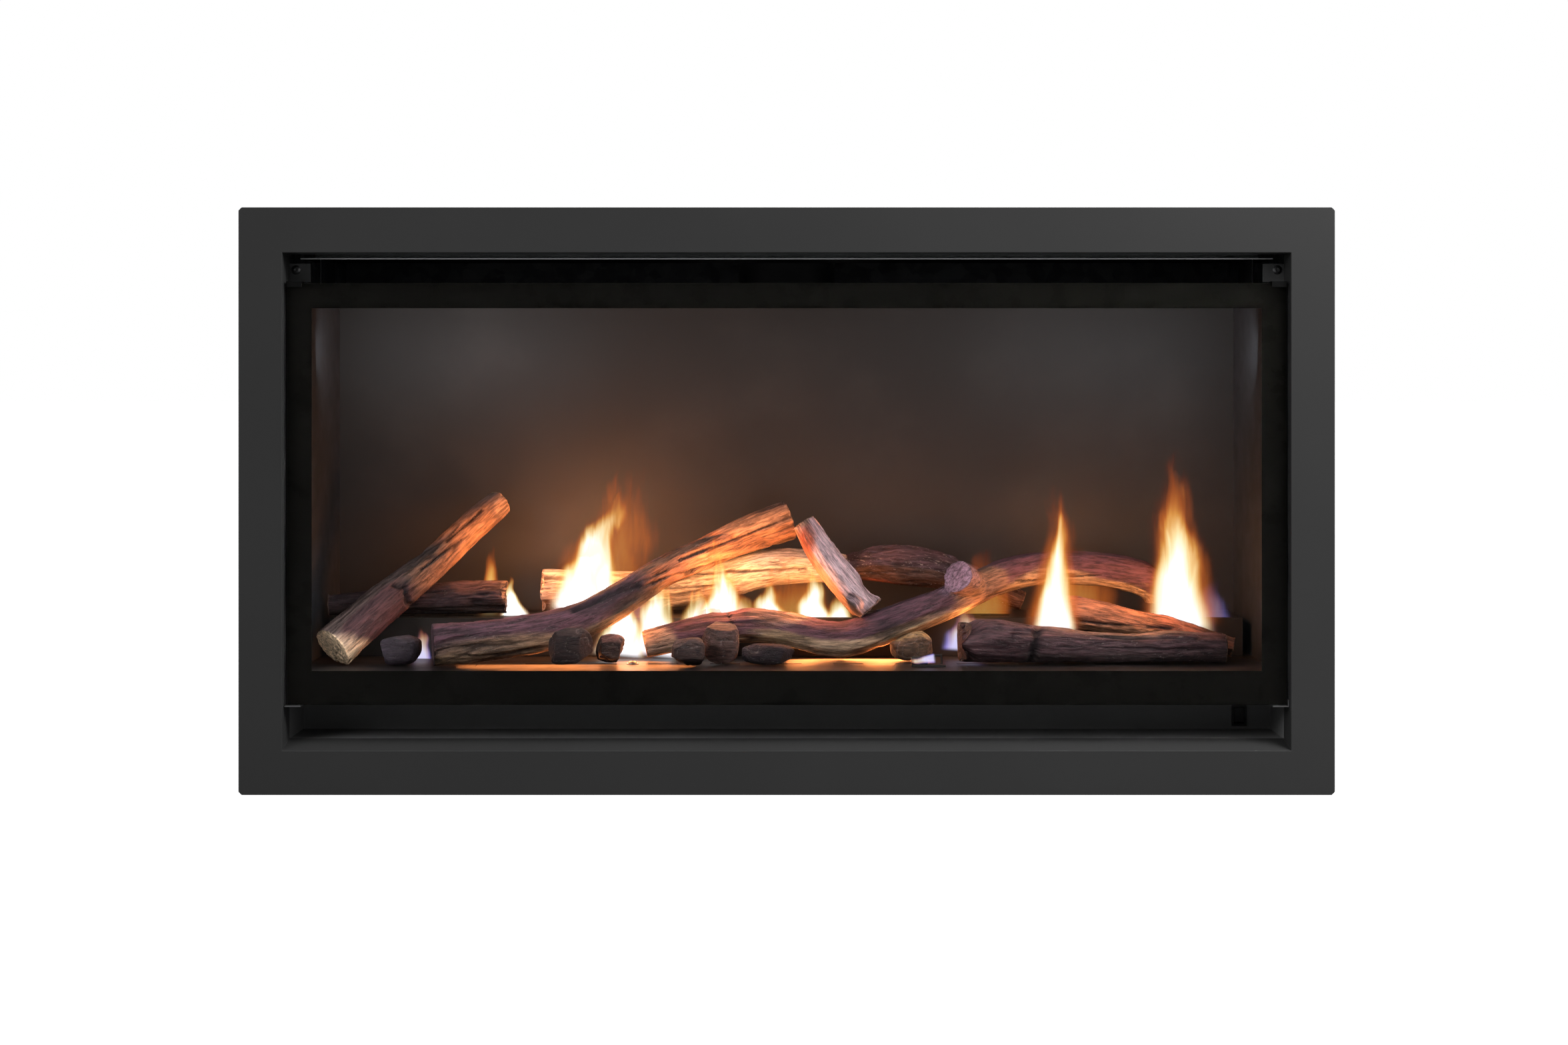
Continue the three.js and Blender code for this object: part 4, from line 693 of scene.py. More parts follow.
scorch, takes, gives = group(
    "scorched bark",
    [("Grain", "Vector", (0.0, 0.0, 0.0)), ("Paint", "Color", (*BARK, 1)), ("Char", "Color", (*CHAR, 1)),
     ("Ash", "Color", (*ASH, 1)), ("Ashing", "Float", 0.3), ("Charring", "Float", 0.4)],
)
grain = takes["Grain"]
fibres = drawn(scorch, grain, (60, 420, 420), 6.0, 0.65, 0.4)
blotch = drawn(scorch, grain, (22, 55, 55), 5.0, 0.6, 0.3)
feeds = {"Vector": stretched(scorch, grain, (7, 110, 110)), "Scale": 1.0}
veins = put(scorch, "TexVoronoi", feeds, feature="DISTANCE_TO_EDGE").outputs["Distance"]
torn = drawn(scorch, grain, (90, 260, 260), 4.0, 0.7, 0.8)
cracks = ranged(scorch, reckon(scorch, "ADD", veins, times(scorch, torn, 0.22)), 0.07, 0.15, 1.0, 0.0)
cracks = times(scorch, cracks, ranged(scorch, blotch, 0.42, 0.6))
shade = ranged(scorch, fibres, 0.32, 0.68, 0.38, 1.5)
lit = put(scorch, "VectorMath", {0: takes["Paint"], "Scale": shade}, operation="SCALE").outputs[0]
scorched = times(scorch, ranged(scorch, blotch, 0.45, 0.72), takes["Charring"])
dark = mixed(scorch, scorched, lit, takes["Char"])
dark = mixed(scorch, times(scorch, cracks, 0.55), dark, takes["Char"])
dust = drawn(scorch, grain, (140, 520, 520), 5.0, 0.75, 0.6)
flakes = times(scorch, ranged(scorch, dust, 0.58, 0.68), ranged(scorch, blotch, 0.4, 0.62))
ashed = times(scorch, flakes, takes["Ashing"])
dull = ranged(scorch, fibres, 0.3, 0.7, 0.6, 0.85)
relief = reckon(scorch, "SUBTRACT", fibres, times(scorch, cracks, 0.8))
relief = reckon(scorch, "ADD", relief, times(scorch, flakes, 0.4))
give(scorch, gives, mixed(scorch, ashed, dark, takes["Ash"]), dull, relief)


def bark_finish(name, ashing, charring):
    """Painted ceramic fibre, with its grain and its paint from the mesh."""
    feeds = {"Ashing": ashing, "Charring": charring}
    made = dressed(name, scorch, feeds, bump=0.9, step=0.0016, Specular_IOR_Level=0.35)
    tree = made.node_tree
    for layer, socket in (("grain", "Grain"), ("paint", "Paint")):
        read = put(tree, "Attribute", attribute_name=layer).outputs["Vector"]
        tree.links.new(read, tree.nodes["Group"].inputs[socket])
    return made


def carved(name, skin, mesh, points, grain, paint, ashing, charring):
    """The carved and painted piece, in the place of its CAD node."""
    mesh.vertices.foreach_set("co", points.ravel())
    mesh.update()
    mesh.shade_smooth()
    store(mesh, "grain", grain)
    store(mesh, "paint", paint)
    piece = settle(f"{name}_{skin}", mesh, bark_finish(f"{name} {skin}", ashing, charring), "casing")
    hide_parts(name)


def shade_paint(colours, shares):
    """Paint laid over paint: each colour covers the last by its own share at each point."""
    total = np.tile(colours[0], (len(shares[0]), 1)).astype(float)
    for colour, share in zip(colours[1:], shares):
        total += (np.array(colour) - total) * share[:, None]
    return total


PLUM = (0.105, 0.046, 0.062)
BROWN = (0.11, 0.06, 0.046)
OCHRE = (0.42, 0.28, 0.16)
TAN = (0.36, 0.22, 0.15)
LAVENDER = (0.38, 0.22, 0.29)
# The underside colour goes on faces that point down; on most logs it is darker than the bark, as painted shade.
LOGS = {  # relief in mm, ash, char, bark, underside, sawn face, seed
    "log_left": (2.6, 0.4, 0.3, (0.13, 0.088, 0.078), BROWN, OCHRE, 11),
    "log_back_left": (3.4, 0.3, 0.6, (0.064, 0.038, 0.044), (0.03, 0.02, 0.018), (0.16, 0.1, 0.08), 23),
    "log_main": (2.4, 0.5, 0.35, (0.14, 0.066, 0.088), (0.2, 0.13, 0.075), (0.09, 0.05, 0.06), 37),
    "log_forked": (1.5, 0.15, 0.12, PLUM, OCHRE, TAN, 41),
    "log_prop": (2.4, 0.5, 0.12, (0.56, 0.38, 0.42), (0.36, 0.2, 0.12), TAN, 53),
    "log_charred": (3.0, 2.4, 0.75, (0.08, 0.05, 0.066), BROWN, TAN, 67),
    "log_back": (2.6, 0.3, 0.12, (0.44, 0.4, 0.36), (0.4, 0.34, 0.28), TAN, 71),
    "log_front_right": (3.0, 0.6, 0.4, (0.1, 0.052, 0.058), (0.07, 0.045, 0.045), (0.22, 0.14, 0.1), 83),
    "log_mid_right": (2.6, 0.35, 0.25, (0.28, 0.115, 0.08), (0.24, 0.14, 0.075), TAN, 97),
}
# Many of these patches are painted firelight and room light, laid on the faces turned to the flames and the glass; the
# rest are the logs' own paint and char.
PAINT_AND_LIGHT_PATCHES = {  # middle (across, behind, above), reach each way, colour, cover, which way the painted side faces
    "log_left": [
        ((-335, 165, 232), (64, 80, 66), (0.23, 0.125, 0.08), 0.85, (0.6, -0.6, -0.5)),
        ((-402, 80, 158), (50, 80, 52), (0.085, 0.038, 0.043), 0.95, (0.6, -0.7, -0.4)),
        ((-455, 75, 122), (52, 60, 32), (0.85, 0.6, 0.38), 0.95, (-0.4, -0.6, -0.6)),
        ((-296, 225, 268), (14, 40, 22), TAN, 0.6, (1, 0, 0)),
    ],
    "log_back_left": [((-289, 187, 180), (8, 30, 24), (0.3, 0.2, 0.16), 0.7, FRONT)],
    "log_main": [
        ((-60, 150, 225), (118, 80, 60), (0.23, 0.11, 0.065), 0.9, FRONT),
        ((-50, 190, 270), (90, 60, 34), (0.17, 0.135, 0.12), 0.8, UP),
        ((-175, 105, 178), (66, 60, 20), CHAR, 0.55, FRONT),
        ((-354, 70, 140), (8, 40, 40), (0.07, 0.035, 0.045), 0.8, FRONT),
        ((-270, 70, 128), (90, 60, 22), (0.36, 0.22, 0.13), 0.8, FRONT),
    ],
    "log_forked": [
        ((-132, 135, 124), (30, 60, 26), TAN, 0.95, FRONT),
        ((-82, 130, 122), (46, 40, 16), (0.52, 0.37, 0.24), 0.9, FRONT),
        ((198, 155, 186), (36, 40, 30), (0.26, 0.14, 0.085), 0.9, FRONT),
        ((172, 128, 198), (30, 34, 26), LAVENDER, 1.0, (-0.7, -0.6, 0.4)),
        ((336, 150, 160), (52, 40, 24), (0.24, 0.1, 0.062), 0.8, FRONT),
        ((378, 140, 176), (17, 20, 16), CHAR, 0.85, FRONT),
        ((-10, 150, 160), (40, 60, 14), (0.3, 0.2, 0.17), 0.6, UP),
        ((60, 130, 122), (100, 60, 13), (0.5, 0.34, 0.22), 0.9, FRONT),
    ],
    "log_prop": [
        ((74, 132, 172), (17, 20, 18), CHAR, 0.85, FRONT),
        ((34, 140, 215), (34, 40, 60), (0.36, 0.1, 0.06), 0.95, (-1, -0.4, -0.2)),
        ((10, 150, 256), (16, 40, 12), TAN, 0.8, FRONT),
        ((64, 150, 205), (44, 60, 64), (0.7, 0.5, 0.54), 0.9, (0.75, -0.6, 0.3)),
    ],
    "log_charred": [
        ((222, 215, 190), (44, 60, 50), (0.14, 0.08, 0.075), 0.85, FRONT),
        ((92, 215, 172), (30, 40, 18), (0.34, 0.1, 0.07), 0.8, FRONT),
    ],
    "log_back": [((-254, 200, 178), (12, 50, 44), (0.5, 0.36, 0.3), 0.8, FRONT)],
    "log_front_right": [
        ((206, 84, 138), (42, 60, 40), (0.105, 0.05, 0.056), 0.9, FRONT),
        ((350, 100, 156), (110, 60, 14), (0.2, 0.13, 0.1), 0.7, UP),
    ],
    "log_mid_right": [
        ((330, 130, 160), (50, 40, 30), (0.28, 0.14, 0.08), 0.6, FRONT),
        ((440, 140, 150), (20, 40, 40), BROWN, 0.8, FRONT),
    ],
}
NOTCHES = {  # where, radius, depth in mm
    "log_left": [((-470, 70, 190), 22, 3.0), ((-392, 66, 178), 9, 2.0)],
    "log_back_left": [((-288, 180, 176), 13, 5.0), ((-330, 175, 196), 22, 4.0)],
    "log_main": [((-215, 85, 182), 24, 3.0), ((-120, 130, 196), 26, 3.5), ((-30, 168, 232), 22, 3.0)],
    "log_forked": [((-60, 140, 165), 18, 2.5), ((372, 135, 190), 12, 4.0)],
    "log_prop": [((68, 128, 172), 11, 5.0), ((84, 150, 186), 16, 4.0), ((24, 150, 262), 10, 3.0)],
    "log_charred": [((100, 200, 225), 22, 3.0)],
    "log_back": [((-256, 180, 192), 18, 6.0), ((-252, 200, 160), 14, 6.0)],
    "log_front_right": [((168, 82, 164), 34, 12.0), ((168, 82, 110), 26, 9.0), ((330, 85, 164), 60, 4.0)],
    "log_mid_right": [((400, 120, 170), 26, 4.0)],
}
FURROWS = {  # from, to (across, above), half width, depth in mm, all on the front
    "log_left": [
        ((-399, 192), (-385, 187), 3, 3.0), ((-385, 187), (-381, 160), 3, 3.5),
        ((-350, 232), (-318, 262), 1.6, 2.0), ((-372, 205), (-335, 232), 1.8, 2.2),
    ],
    "log_main": [
        ((-214, 168), (-150, 190), 2.6, 3.5), ((-150, 187), (6, 226), 2.2, 3.5),
        ((-196, 176), (-120, 205), 1.6, 2.0), ((-110, 178), (-40, 202), 1.6, 2.0), ((-110, 214), (-10, 250), 1.4, 2.0),
    ],
    "log_front_right": [
        ((252, 160), (244, 114), 6, 4.5), ((270, 132), (380, 128), 1.8, 2.0), ((300, 146), (410, 140), 1.6, 2.0),
    ],
    "log_forked": [((-62, 168), (-52, 140), 2.0, 2.0), ((236, 190), (330, 196), 1.2, 1.2)],
    "log_mid_right": [((290, 150), (390, 146), 1.8, 2.5)],
    "log_back": [
        ((-230, 176), (-60, 182), 1.8, 2.5), ((-180, 196), (20, 200), 1.8, 2.5), ((-60, 170), (50, 176), 1.6, 2.0),
    ],
}
CUTS = {  # a point on the saw cut, which way it faces, how far it reaches in mm
    "log_forked": [((174, 136, 196), (-0.4, -0.84, 0.37), 34)],
    "log_left": [((-455, 82, 124), (-0.35, -0.85, -0.4), 60)],
}
RIDGE_WAVES = (22, 150, 150)  # waves in a metre, along the grain and across it
RIFT_WAVES = (8, 75, 75)
BREAK_WAVES = (16, 30, 30)
CREASE_WAVES = (30, 300, 300)
BLOTCH_WAVES = (14, 36, 36)
LUMP_WAVES = 34
BASE_CUT, RIDGE_CUT, LUMP_CUT, RIFT_CUT, CREASE_CUT = 0.36, 0.45, 0.3, 0.9, 0.25  # shares of a log's relief
LEAST_CUT = 0.1  # mm
MOST_CUT = 1.8  # share of the relief
SAWN_FACING = (0.72, 0.9)  # how nearly a sawn face looks along the log
SAWN_END = (0.8, 0.9)  # and how near it is to the log's end
SHADED = 0.55  # a colour's share that is left where bark is dusky


def nearness(points, spot, reach):
    """1 in the middle of a spot, 0 at its edge and beyond, without a step."""
    return 1 - np.linalg.norm((points - np.array(place(*spot))) / (np.array(reach) * MM), axis=1)


def beside(points, start, end, waver):
    """How far each point is from a line on the log's front, in mm."""
    start, end = (np.array((x * MM, (z + FASCIA_EDGE) * MM)) for x, z in (start, end))
    flat = points[:, [0, 2]]
    way = end - start
    share = np.clip(((flat - start) @ way) / (way @ way), 0, 1)
    return np.linalg.norm(flat - start - share[:, None] * way, axis=1) / MM + waver


for name, (relief, ashing, charring, bark, belly, sawn, seed) in LOGS.items():
    mesh, points, outward = grown(name, VOXEL, 2)
    for spot, facing, reach in CUTS.get(name, ()):
        facing = np.array(facing) / np.linalg.norm(facing)
        beyond = (points - np.array(place(*spot))) @ facing
        near = np.linalg.norm(points - np.array(place(*spot)), axis=1) < reach * MM
        points = points - (np.clip(beyond, 0, None) * near)[:, None] * facing
    run, off, up, axis = along_grain(points)
    grain = np.stack([run, off, up], 1)
    cut_face = step(np.abs(outward @ axis), *SAWN_FACING) * step(np.abs(run) / np.abs(run).max(), *SAWN_END)
    ridges = fractal(grain * RIDGE_WAVES, seed, 4, 0.6)
    lumps = fractal(points * LUMP_WAVES, seed + 40, 3)
    rifts = np.clip(1 - np.abs(fractal(grain * RIFT_WAVES, seed + 80, 3)) * 8, 0, 1)
    rifts *= step(fractal(grain * BREAK_WAVES, seed + 85, 2), -0.25, 0.15)
    creases = np.clip(1 - np.abs(fractal(grain * CREASE_WAVES, seed + 90, 2)) * 5, 0, 1)
    depth = relief * (BASE_CUT - RIDGE_CUT * ridges) + relief * LUMP_CUT * (1 - lumps)
    depth = depth + relief * RIFT_CUT * rifts + relief * CREASE_CUT * creases
    depth *= 1 - 0.7 * cut_face
    depth = np.clip(depth, LEAST_CUT, relief * MOST_CUT)
    for spot, radius, deep in NOTCHES[name]:
        depth += deep * step(nearness(points, spot, (radius,) * 3), 0.0, 0.6)
    groove = np.zeros(len(points))
    for start, end, half, deep in FURROWS.get(name, ()):
        cut = step(1 - beside(points, start, end, ridges * 2.2) / half, 0.0, 0.8) * step(-outward[:, 1], -0.1, 0.3)
        depth += deep * cut
        groove = np.maximum(groove, cut)
    smooth_points = points
    points = points - outward * depth[:, None] * MM
    blotches = fractal(grain * BLOTCH_WAVES, seed + 120, 4)
    # Downward faces take the underside colour: painted shade on most logs.
    low = step(-outward[:, 2] + blotches * 0.7, 0.0, 0.4)
    dusk = step(blotches, 0.1, 0.7) * 0.5
    colours = [bark, belly, tuple(SHADED * c for c in bark), sawn]
    shares = [low, dusk, cut_face]
    # Each patch covers the faces turned its way; many are painted firelight and room light.
    for spot, reach, colour, cover, facing in PAINT_AND_LIGHT_PATCHES[name]:
        turned_to = step(outward @ (np.array(facing) / np.linalg.norm(facing)) + 0.4 * blotches, -0.3, 0.4)
        colours.append(colour)
        shares.append(step(nearness(smooth_points, spot, reach) + 0.3 * blotches, 0.0, 0.25) * turned_to * cover)
    paint = shade_paint([*colours, CHAR, CHAR], [*shares, rifts * 0.8, groove * 0.9])
    carved(name, "bark", mesh, points, grain, paint, ashing, charring)


# Embers
# Seven lumps of the same ceramic fibre, cast as broken charcoal: dark grey-black, boxy, with pale crack lines
# and a dusting of ash, and their upper faces lighter and warmer.
EMBERS = {  # coal colour, top colour, seed
    "ember_1": ((0.042, 0.03, 0.04), (0.06, 0.046, 0.058), 101),
    "ember_2": ((0.045, 0.028, 0.027), (0.06, 0.042, 0.042), 103),
    "ember_3": ((0.05, 0.033, 0.03), (0.17, 0.09, 0.085), 107),
    "ember_4": ((0.07, 0.042, 0.038), (0.1, 0.064, 0.06), 109),
    "ember_5": ((0.12, 0.066, 0.056), (0.16, 0.098, 0.08), 113),
    "ember_6": ((0.025, 0.016, 0.02), (0.055, 0.034, 0.04), 127),
    "ember_7": ((0.12, 0.066, 0.04), (0.3, 0.19, 0.09), 131),
}
COAL_VOXEL = 1.2  # mm
BREAKS = 11  # flat broken faces on each lump
CHIP = 0.9  # mm
CHIP_WAVES = 210
SEAM_WAVES = 40
SEAM = (0.34, 0.27, 0.25)
COAL_ASH = 0.25
COAL_CHAR = 0.4
for name, (coal, top, seed) in EMBERS.items():
    mesh, points, outward = grown(name, COAL_VOXEL, 1)
    chance = np.random.default_rng(seed)
    middle = points.mean(0)
    for _ in range(BREAKS):
        way = chance.normal(size=3)
        way /= np.linalg.norm(way)
        beyond = (points - middle) @ way - np.abs((points - middle) @ way).max() * chance.uniform(0.7, 0.9)
        points = points - np.clip(beyond, 0, None)[:, None] * way
    chips = fractal(points * CHIP_WAVES, seed + 10, 4, 0.6)
    seams = np.clip(1 - np.abs(fractal(points * SEAM_WAVES, seed + 60, 3)) * 12, 0, 1)
    points = points - outward * np.clip(0.5 - 0.7 * chips + seams, 0.1, 2)[:, None] * CHIP * MM
    upper = step(outward[:, 2] + chips * 0.5, 0.3, 0.9)
    paint = shade_paint([coal, top, SEAM], [upper, step(seams, 0.8, 1.0) * 0.45])
    carved(name, "coal", mesh, points, points, paint, COAL_ASH, COAL_CHAR)


# Flames
# Gas flames stand on both burners: broad yellow ones behind the long log, tall narrow ones at the right, a
# blue skirt at each base. Each is two thin curved sheets that cross, clear at their rims.
COOLEST = (0.05, (0.5, 0.06, 0.012))  # heat and the colour it glows in
BETWEEN = [(0.22, (0.9, 0.22, 0.035)), (0.4, (1.0, 0.5, 0.11)), (0.62, (1.0, 0.8, 0.4))]
HOTTEST = (0.9, (1.0, 0.98, 0.94))
SKIRT_BLUE = (0.42, 0.36, 1.0, 1)
flame, takes, gives = group(
    "flame",
    [("Place", "Vector", (0.0, 0.0, 0.0)), ("Heat", "Float", 1.0), ("Blue", "Float", 0.15), ("Rise", "Float", 0.4),
     ("Body", "Float", 0.95)],
    [("Color", "Color"), ("Alpha", "Float")],
)
sideways, height, _ = put(flame, "SeparateXYZ", {0: takes["Place"]}).outputs
rim = reckon(flame, "ABSOLUTE", reckon(flame, "MULTIPLY_ADD", sideways, 2.0, -1.0))
where = put(flame, "TexCoord").outputs["Object"]
streaks = drawn(flame, where, (85, 85, 16), 2.0, 0.5, 0.5)
core = reckon(flame, "SUBTRACT", 1.0, reckon(flame, "POWER", rim, 1.7))
cool = reckon(flame, "SUBTRACT", 1.0, reckon(flame, "POWER", height, 1.5))
looser = reckon(flame, "MULTIPLY_ADD", height, 0.75, 0.15)
waver = times(flame, reckon(flame, "SUBTRACT", streaks, 0.5), looser)
inside = reckon(flame, "ADD", times(flame, core, cool), waver)
heat = times(flame, inside, takes["Heat"])
glow = put(flame, "ValToRGB", {"Fac": heat})
elements = glow.color_ramp.elements
for element, (at, colour) in zip(elements, (COOLEST, HOTTEST)):
    element.position, element.color = at, (*colour, 1)
for at, colour in BETWEEN:
    elements.new(at).color = (*colour, 1)
base = times(flame, ranged(flame, height, 0.0, takes["Rise"], 1.0, 0.0), takes["Blue"])
base = times(flame, base, ranged(flame, core, 0.0, 0.9, 1.0, 0.35))
root = ranged(flame, height, 0.0, 0.1)
cover = times(flame, ranged(flame, inside, 0.0, 0.75), times(flame, root, takes["Body"]))
cover = times(flame, cover, ranged(flame, rim, 0.6, 1.0, 1.0, 0.0))
give(flame, gives, mixed(flame, base, glow.outputs[0], SKIRT_BLUE), cover)


def flame_finish(name, heat, blue, rise, body, strength):
    """Burning gas: it only glows, and a sheet fades where it is seen edge on."""
    made, tree, surface = blank(
        name, Base_Color=(0, 0, 0, 1), Roughness=1.0, Specular_IOR_Level=0.0, Emission_Strength=strength
    )
    pattern = put(tree, "Group", node_tree=flame)
    tree.links.new(put(tree, "TexCoord").outputs["UV"], pattern.inputs["Place"])
    for label, value in (("Heat", heat), ("Blue", blue), ("Rise", rise), ("Body", body)):
        pattern.inputs[label].default_value = value
    turned_away = put(tree, "LayerWeight", {"Blend": 0.5}).outputs["Facing"]
    face_on = ranged(tree, turned_away, 0.3, 0.7, 1.0, 0.0)
    tree.links.new(pattern.outputs["Color"], surface.inputs["Emission Color"])
    tree.links.new(times(tree, pattern.outputs["Alpha"], face_on), surface.inputs["Alpha"])
    made.cycles.emission_sampling = "NONE"
    return made


FLAME_KINDS = {  # heat, blue, how high the blue rises, body, strength
    "bright": flame_finish("bright flame", 1.5, 0.25, 0.4, 0.98, 1.5),
    "tall": flame_finish("tall flame", 1.25, 0.25, 0.4, 0.97, 1.35),
    "wisp": flame_finish("orange wisp", 0.6, 0.1, 0.4, 0.8, 1.0),
    "halo": flame_finish("flame halo", 0.42, 0.0, 0.4, 0.5, 0.9),
    "blue": flame_finish("blue skirt", 0.7, 2.0, 2.0, 0.5, 0.55),
    "pilot": flame_finish("pilot flame", 1.2, 1.5, 1.2, 0.9, 1.1),
}
FLAME_ROWS = 26
FLAME_COLUMNS = 10
BELLY = 0.15  # how far a sheet bows out, as a share of its half width
SHEETS = ((0.0, 1.0), (math.pi / 2, 0.6))  # turn about the flame's middle, share of its width
WAVES = ((0.07, 9, 1), (0.04, 17, 2.3))  # reach, beats, how the seed shifts them
BLUNT, POINTED = 0.5, 2.5  # how a fat and a lean flame narrow upwards


def flame_sheet(work, uv, foot, tip, half, curl, turn, fat, seed):
    """One sheet: it rises from foot to tip, bows sideways by curl, and stands at an angle."""
    axis = (tip - foot).normalized()
    spin = Matrix.Rotation(turn, 3, axis)
    heading = spin @ Vector((0, 1, 0)).cross(axis).normalized()
    facing = axis.cross(heading)
    grid = []
    for i in range(FLAME_ROWS + 1):
        v = i / FLAME_ROWS
        wave = sum(reach * math.sin(v * beats + seed * shift) for reach, beats, shift in WAVES) * (0.3 + v)
        spine = foot.lerp(tip, v) + heading * ((curl * math.sin(math.pi * v) + wave * half) * MM)
        width = half * (fat * (1 - v) ** BLUNT + (1 - fat) * (1 - v) ** POINTED)
        row = []
        for j in range(FLAME_COLUMNS + 1):
            u = j / FLAME_COLUMNS
            spread = u * 2 - 1
            point = spine + heading * (spread * width * MM) + facing * ((1 - spread * spread) * BELLY * width * MM)
            row.append((work.verts.new(point), (u, v)))
        grid.append(row)
    for low, high in zip(grid, grid[1:]):
        for j in range(FLAME_COLUMNS):
            corners = (low[j], low[j + 1], high[j + 1], high[j])
            face = work.faces.new([vertex for vertex, _ in corners])
            for loop, (_, spot) in zip(face.loops, corners):
                loop[uv].uv = spot


FLAMES = {  # kind, foot, tip (across, behind, above), half width, fatness, curl
    "flame_left_wide": ("bright", (-204, 163, 148), (-168, 163, 284), 46, 0.7, -10),
    "flame_left_low": ("bright", (-216, 165, 150), (-186, 164, 240), 40, 0.8, -8),
    "flame_left_halo": ("halo", (-196, 162, 140), (-150, 162, 316), 76, 0.9, -4),
    "flame_centre": ("bright", (-67, 156, 128), (-68, 156, 238), 48, 0.3, 0),
    "flame_centre_low": ("bright", (-92, 156, 124), (-86, 156, 188), 36, 0.8, 0),
    "flame_centre_halo": ("halo", (-68, 155, 128), (-67, 155, 256), 44, 0.7, 0),
    "flame_small_1": ("bright", (-18, 172, 136), (-18, 172, 190), 32, 0.8, 0),
    "flame_small_2": ("bright", (28, 172, 136), (27, 172, 202), 30, 0.7, 0),
    "flame_small_3": ("bright", (56, 172, 136), (52, 172, 180), 24, 0.9, 0),
    "flame_low_row": ("bright", (-66, 168, 128), (-62, 168, 190), 62, 0.9, 0),
    "flame_low_halo": ("halo", (4, 174, 136), (4, 174, 214), 64, 0.9, 0),
    "flame_under_main": ("bright", (-172, 152, 112), (-164, 152, 190), 34, 0.9, 0),
    "flame_under_main_2": ("bright", (-138, 152, 112), (-126, 152, 198), 34, 0.9, 0),
    "skirt_under_main": ("blue", (-150, 155, 112), (-148, 155, 182), 52, 0.95, 0),
    "flame_tall": ("tall", (269, 124, 136), (274, 124, 280), 31, 0.5, 3),
    "flame_tall_halo": ("halo", (270, 132, 140), (275, 132, 300), 38, 0.8, 3),
    "flame_right": ("tall", (404, 146, 132), (398, 143, 306), 44, 0.8, -4),
    "flame_right_halo": ("halo", (406, 156, 140), (398, 154, 326), 52, 0.9, -3),
    "flame_left_tip": ("wisp", (-314, 222, 150), (-312, 222, 224), 16, 0.8, 2),
    "flame_left_small": ("bright", (-284, 190, 148), (-290, 190, 196), 22, 0.4, 0),
    "skirt_far_left": ("pilot", (-374, 150, 104), (-373, 150, 146), 14, 1.0, 0),
    "skirt_middle": ("pilot", (180, 152, 118), (184, 152, 166), 26, 1.0, 0),
    "skirt_right": ("halo", (300, 178, 138), (304, 178, 226), 62, 1.0, 0),
    "skirt_back_right": ("halo", (206, 204, 140), (210, 204, 222), 40, 1.0, 0),
    "skirt_far_right": ("blue", (440, 172, 134), (438, 172, 196), 26, 1.0, 0),
    "pilot_jet": ("pilot", (148, 82, 121), (117, 79, 117), 6, 0.9, 0),
}
for seed, (name, (kind, foot, tip, half, fat, curl)) in enumerate(FLAMES.items()):
    work = bmesh.new()
    uv = work.loops.layers.uv.new("UVMap")
    for turn, size in SHEETS:
        ends = (place(*foot), place(*tip))
        flame_sheet(work, uv, *ends, half * size, curl * size, turn, fat, seed + turn)
    mesh = meshed(name, work)
    mesh.shade_smooth()
    piece = settle(name, mesh, FLAME_KINDS[kind], "casing")
    piece.visible_diffuse = False
    piece.visible_shadow = False


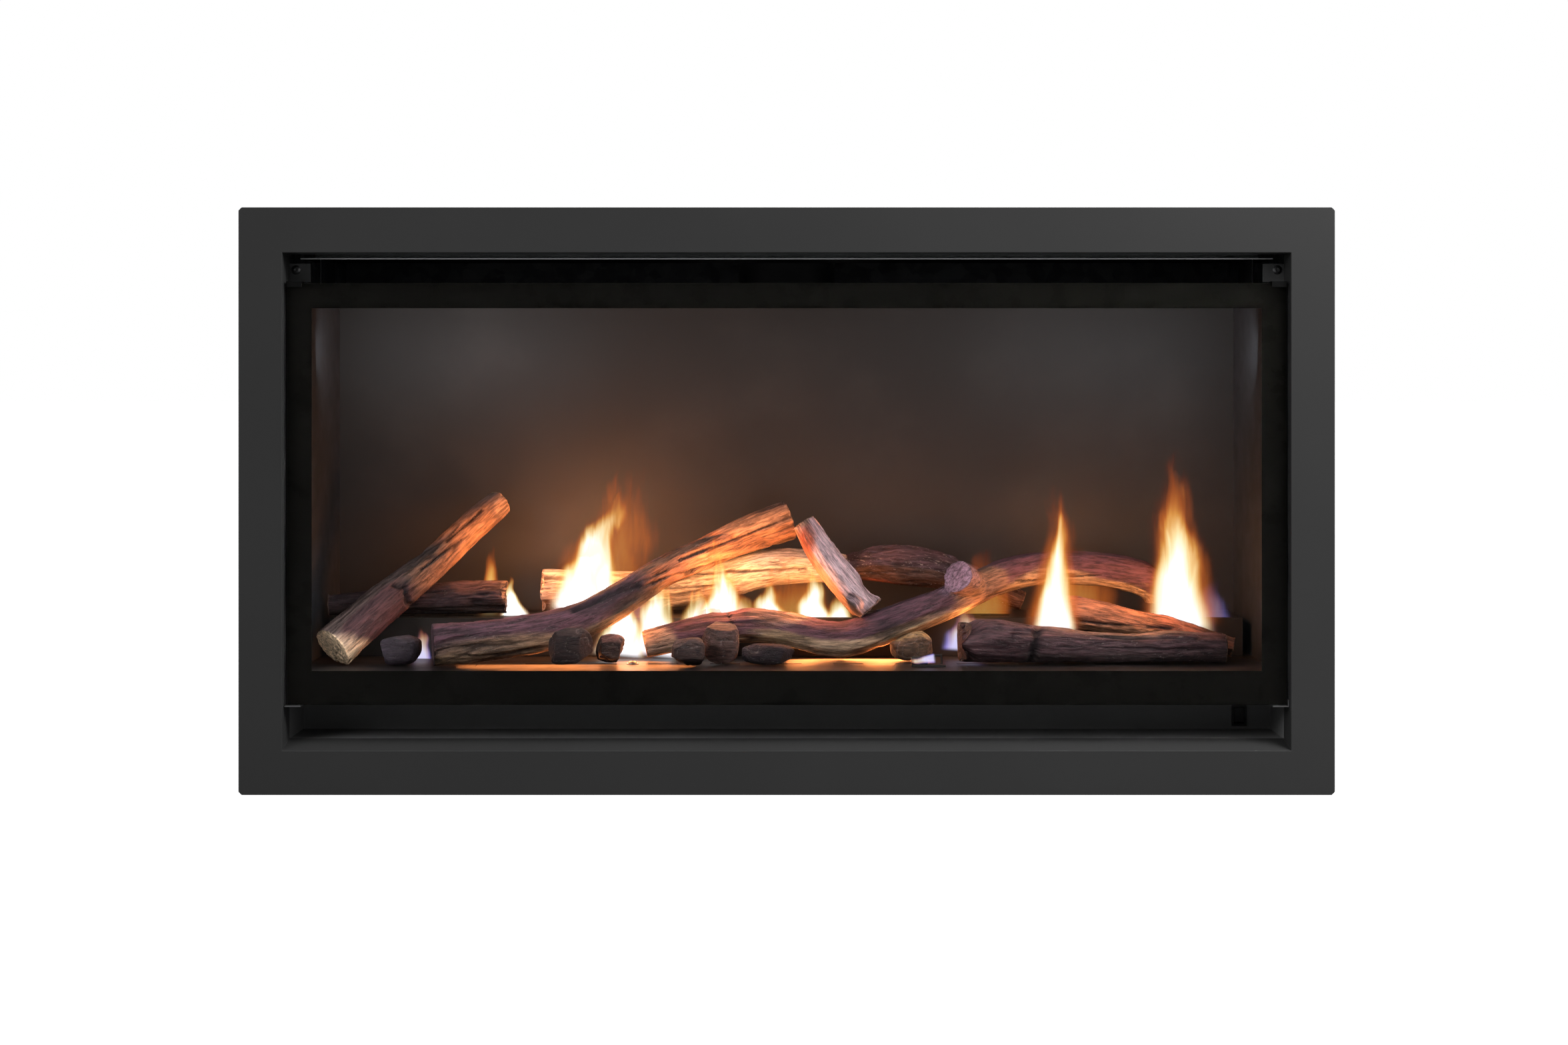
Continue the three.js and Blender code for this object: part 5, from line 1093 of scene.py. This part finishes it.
# Fire light
# The flames light the logs and the lining. Warm lamps give that light, a long one gives what the whole row
# throws on the back liner, and low ones face the room, so that the satin floor mirrors them.
FIRE_LIGHT = [  # across, behind, above, watts, radius
    (-205, 158, 205, 0.8, 20),
    (-64, 138, 202, 0.8, 18),
    (18, 150, 180, 0.5, 12),
    (-158, 130, 140, 0.2, 10),
    (270, 112, 200, 0.27, 18),
    (374, 118, 202, 0.42, 20),
    (-300, 178, 212, 0.22, 10),
    (190, 150, 150, 0.12, 12),
    (-190, 200, 245, 0.5, 25),
    (300, 205, 216, 0.3, 24),
]
FLAME_COLOUR = (1.0, 0.38, 0.12)
for number, (*spot, watts, radius) in enumerate(FIRE_LIGHT, 1):
    glow = lamp(f"fire_light_{number}", "POINT", place(*spot), watts, radius * MM, FLAME_COLOUR)
    glow.visible_camera = glow.visible_transmission = glow.visible_glossy = False


def panel(name, spot, watts, colour, size, shape, turn):
    """A lamp with a long and a high side, in metres, turned about the long one. Only its light is seen."""
    long, high = size
    made = lamp(name, "AREA", place(*spot), watts, long, colour)
    made.data.shape = shape
    made.data.size_y = high
    made.rotation_euler = (turn, 0, 0)
    made.visible_camera = made.visible_transmission = made.visible_glossy = False
    return made


TO_THE_BACK, TO_THE_ROOM = math.pi / 2, -math.pi / 2
LOW_COLOUR = (1.0, 0.3, 0.08)
FLOOR_LIGHT = [  # place, watts, size
    ((74, 152, 118), 0.1, (0.15, 0.01)),
    ((-212, 108, 118), 0.04, (0.24, 0.008)),
    ((-148, 136, 119), 0.015, (0.06, 0.01)),
]
for number, (spot, watts, size) in enumerate(FLOOR_LIGHT, 1):
    glow = panel(f"floor_light_{number}", spot, watts, LOW_COLOUR, size, "ELLIPSE", TO_THE_ROOM)
    glow.visible_glossy = True
WALL_COLOUR = (1.0, 0.33, 0.08)
panel("wall_glow", (-110, 166, 258), 0.36, WALL_COLOUR, (0.66, 0.05), "ELLIPSE", TO_THE_BACK)


# Room light
# A path tracer's shadow rays can't carry the room's light through the glass, so lamps inside the chamber
# give what comes in: behind the glass, under the roof, at the left end, and along the outlet.
DAYLIGHT = (0.92, 0.96, 1.0)
ROOM_LIGHT = [  # place, watts, size, how far it looks down
    ((0, 34, 215), 0.27, (0.88, 0.12), 0.9),
    ((0, 150, 425), 0.34, (0.94, 0.04), -0.1),
    ((-355, 140, 425), 0.12, (0.24, 0.04), -0.1),
    ((355, 140, 425), 0.14, (0.24, 0.04), -0.1),
    ((0, 36, 405), 0.08, (0.9, 0.08), 0.3),
    ((-445, 36, 150), 0.045, (0.1, 0.06), 0),
    ((0, 6, 512), 0.02, (0.9, 0.008), 0),
]
for number, (spot, watts, size, down) in enumerate(ROOM_LIGHT, 1):
    panel(f"room_light_{number}", spot, watts, DAYLIGHT, size, "RECTANGLE", TO_THE_BACK - down)
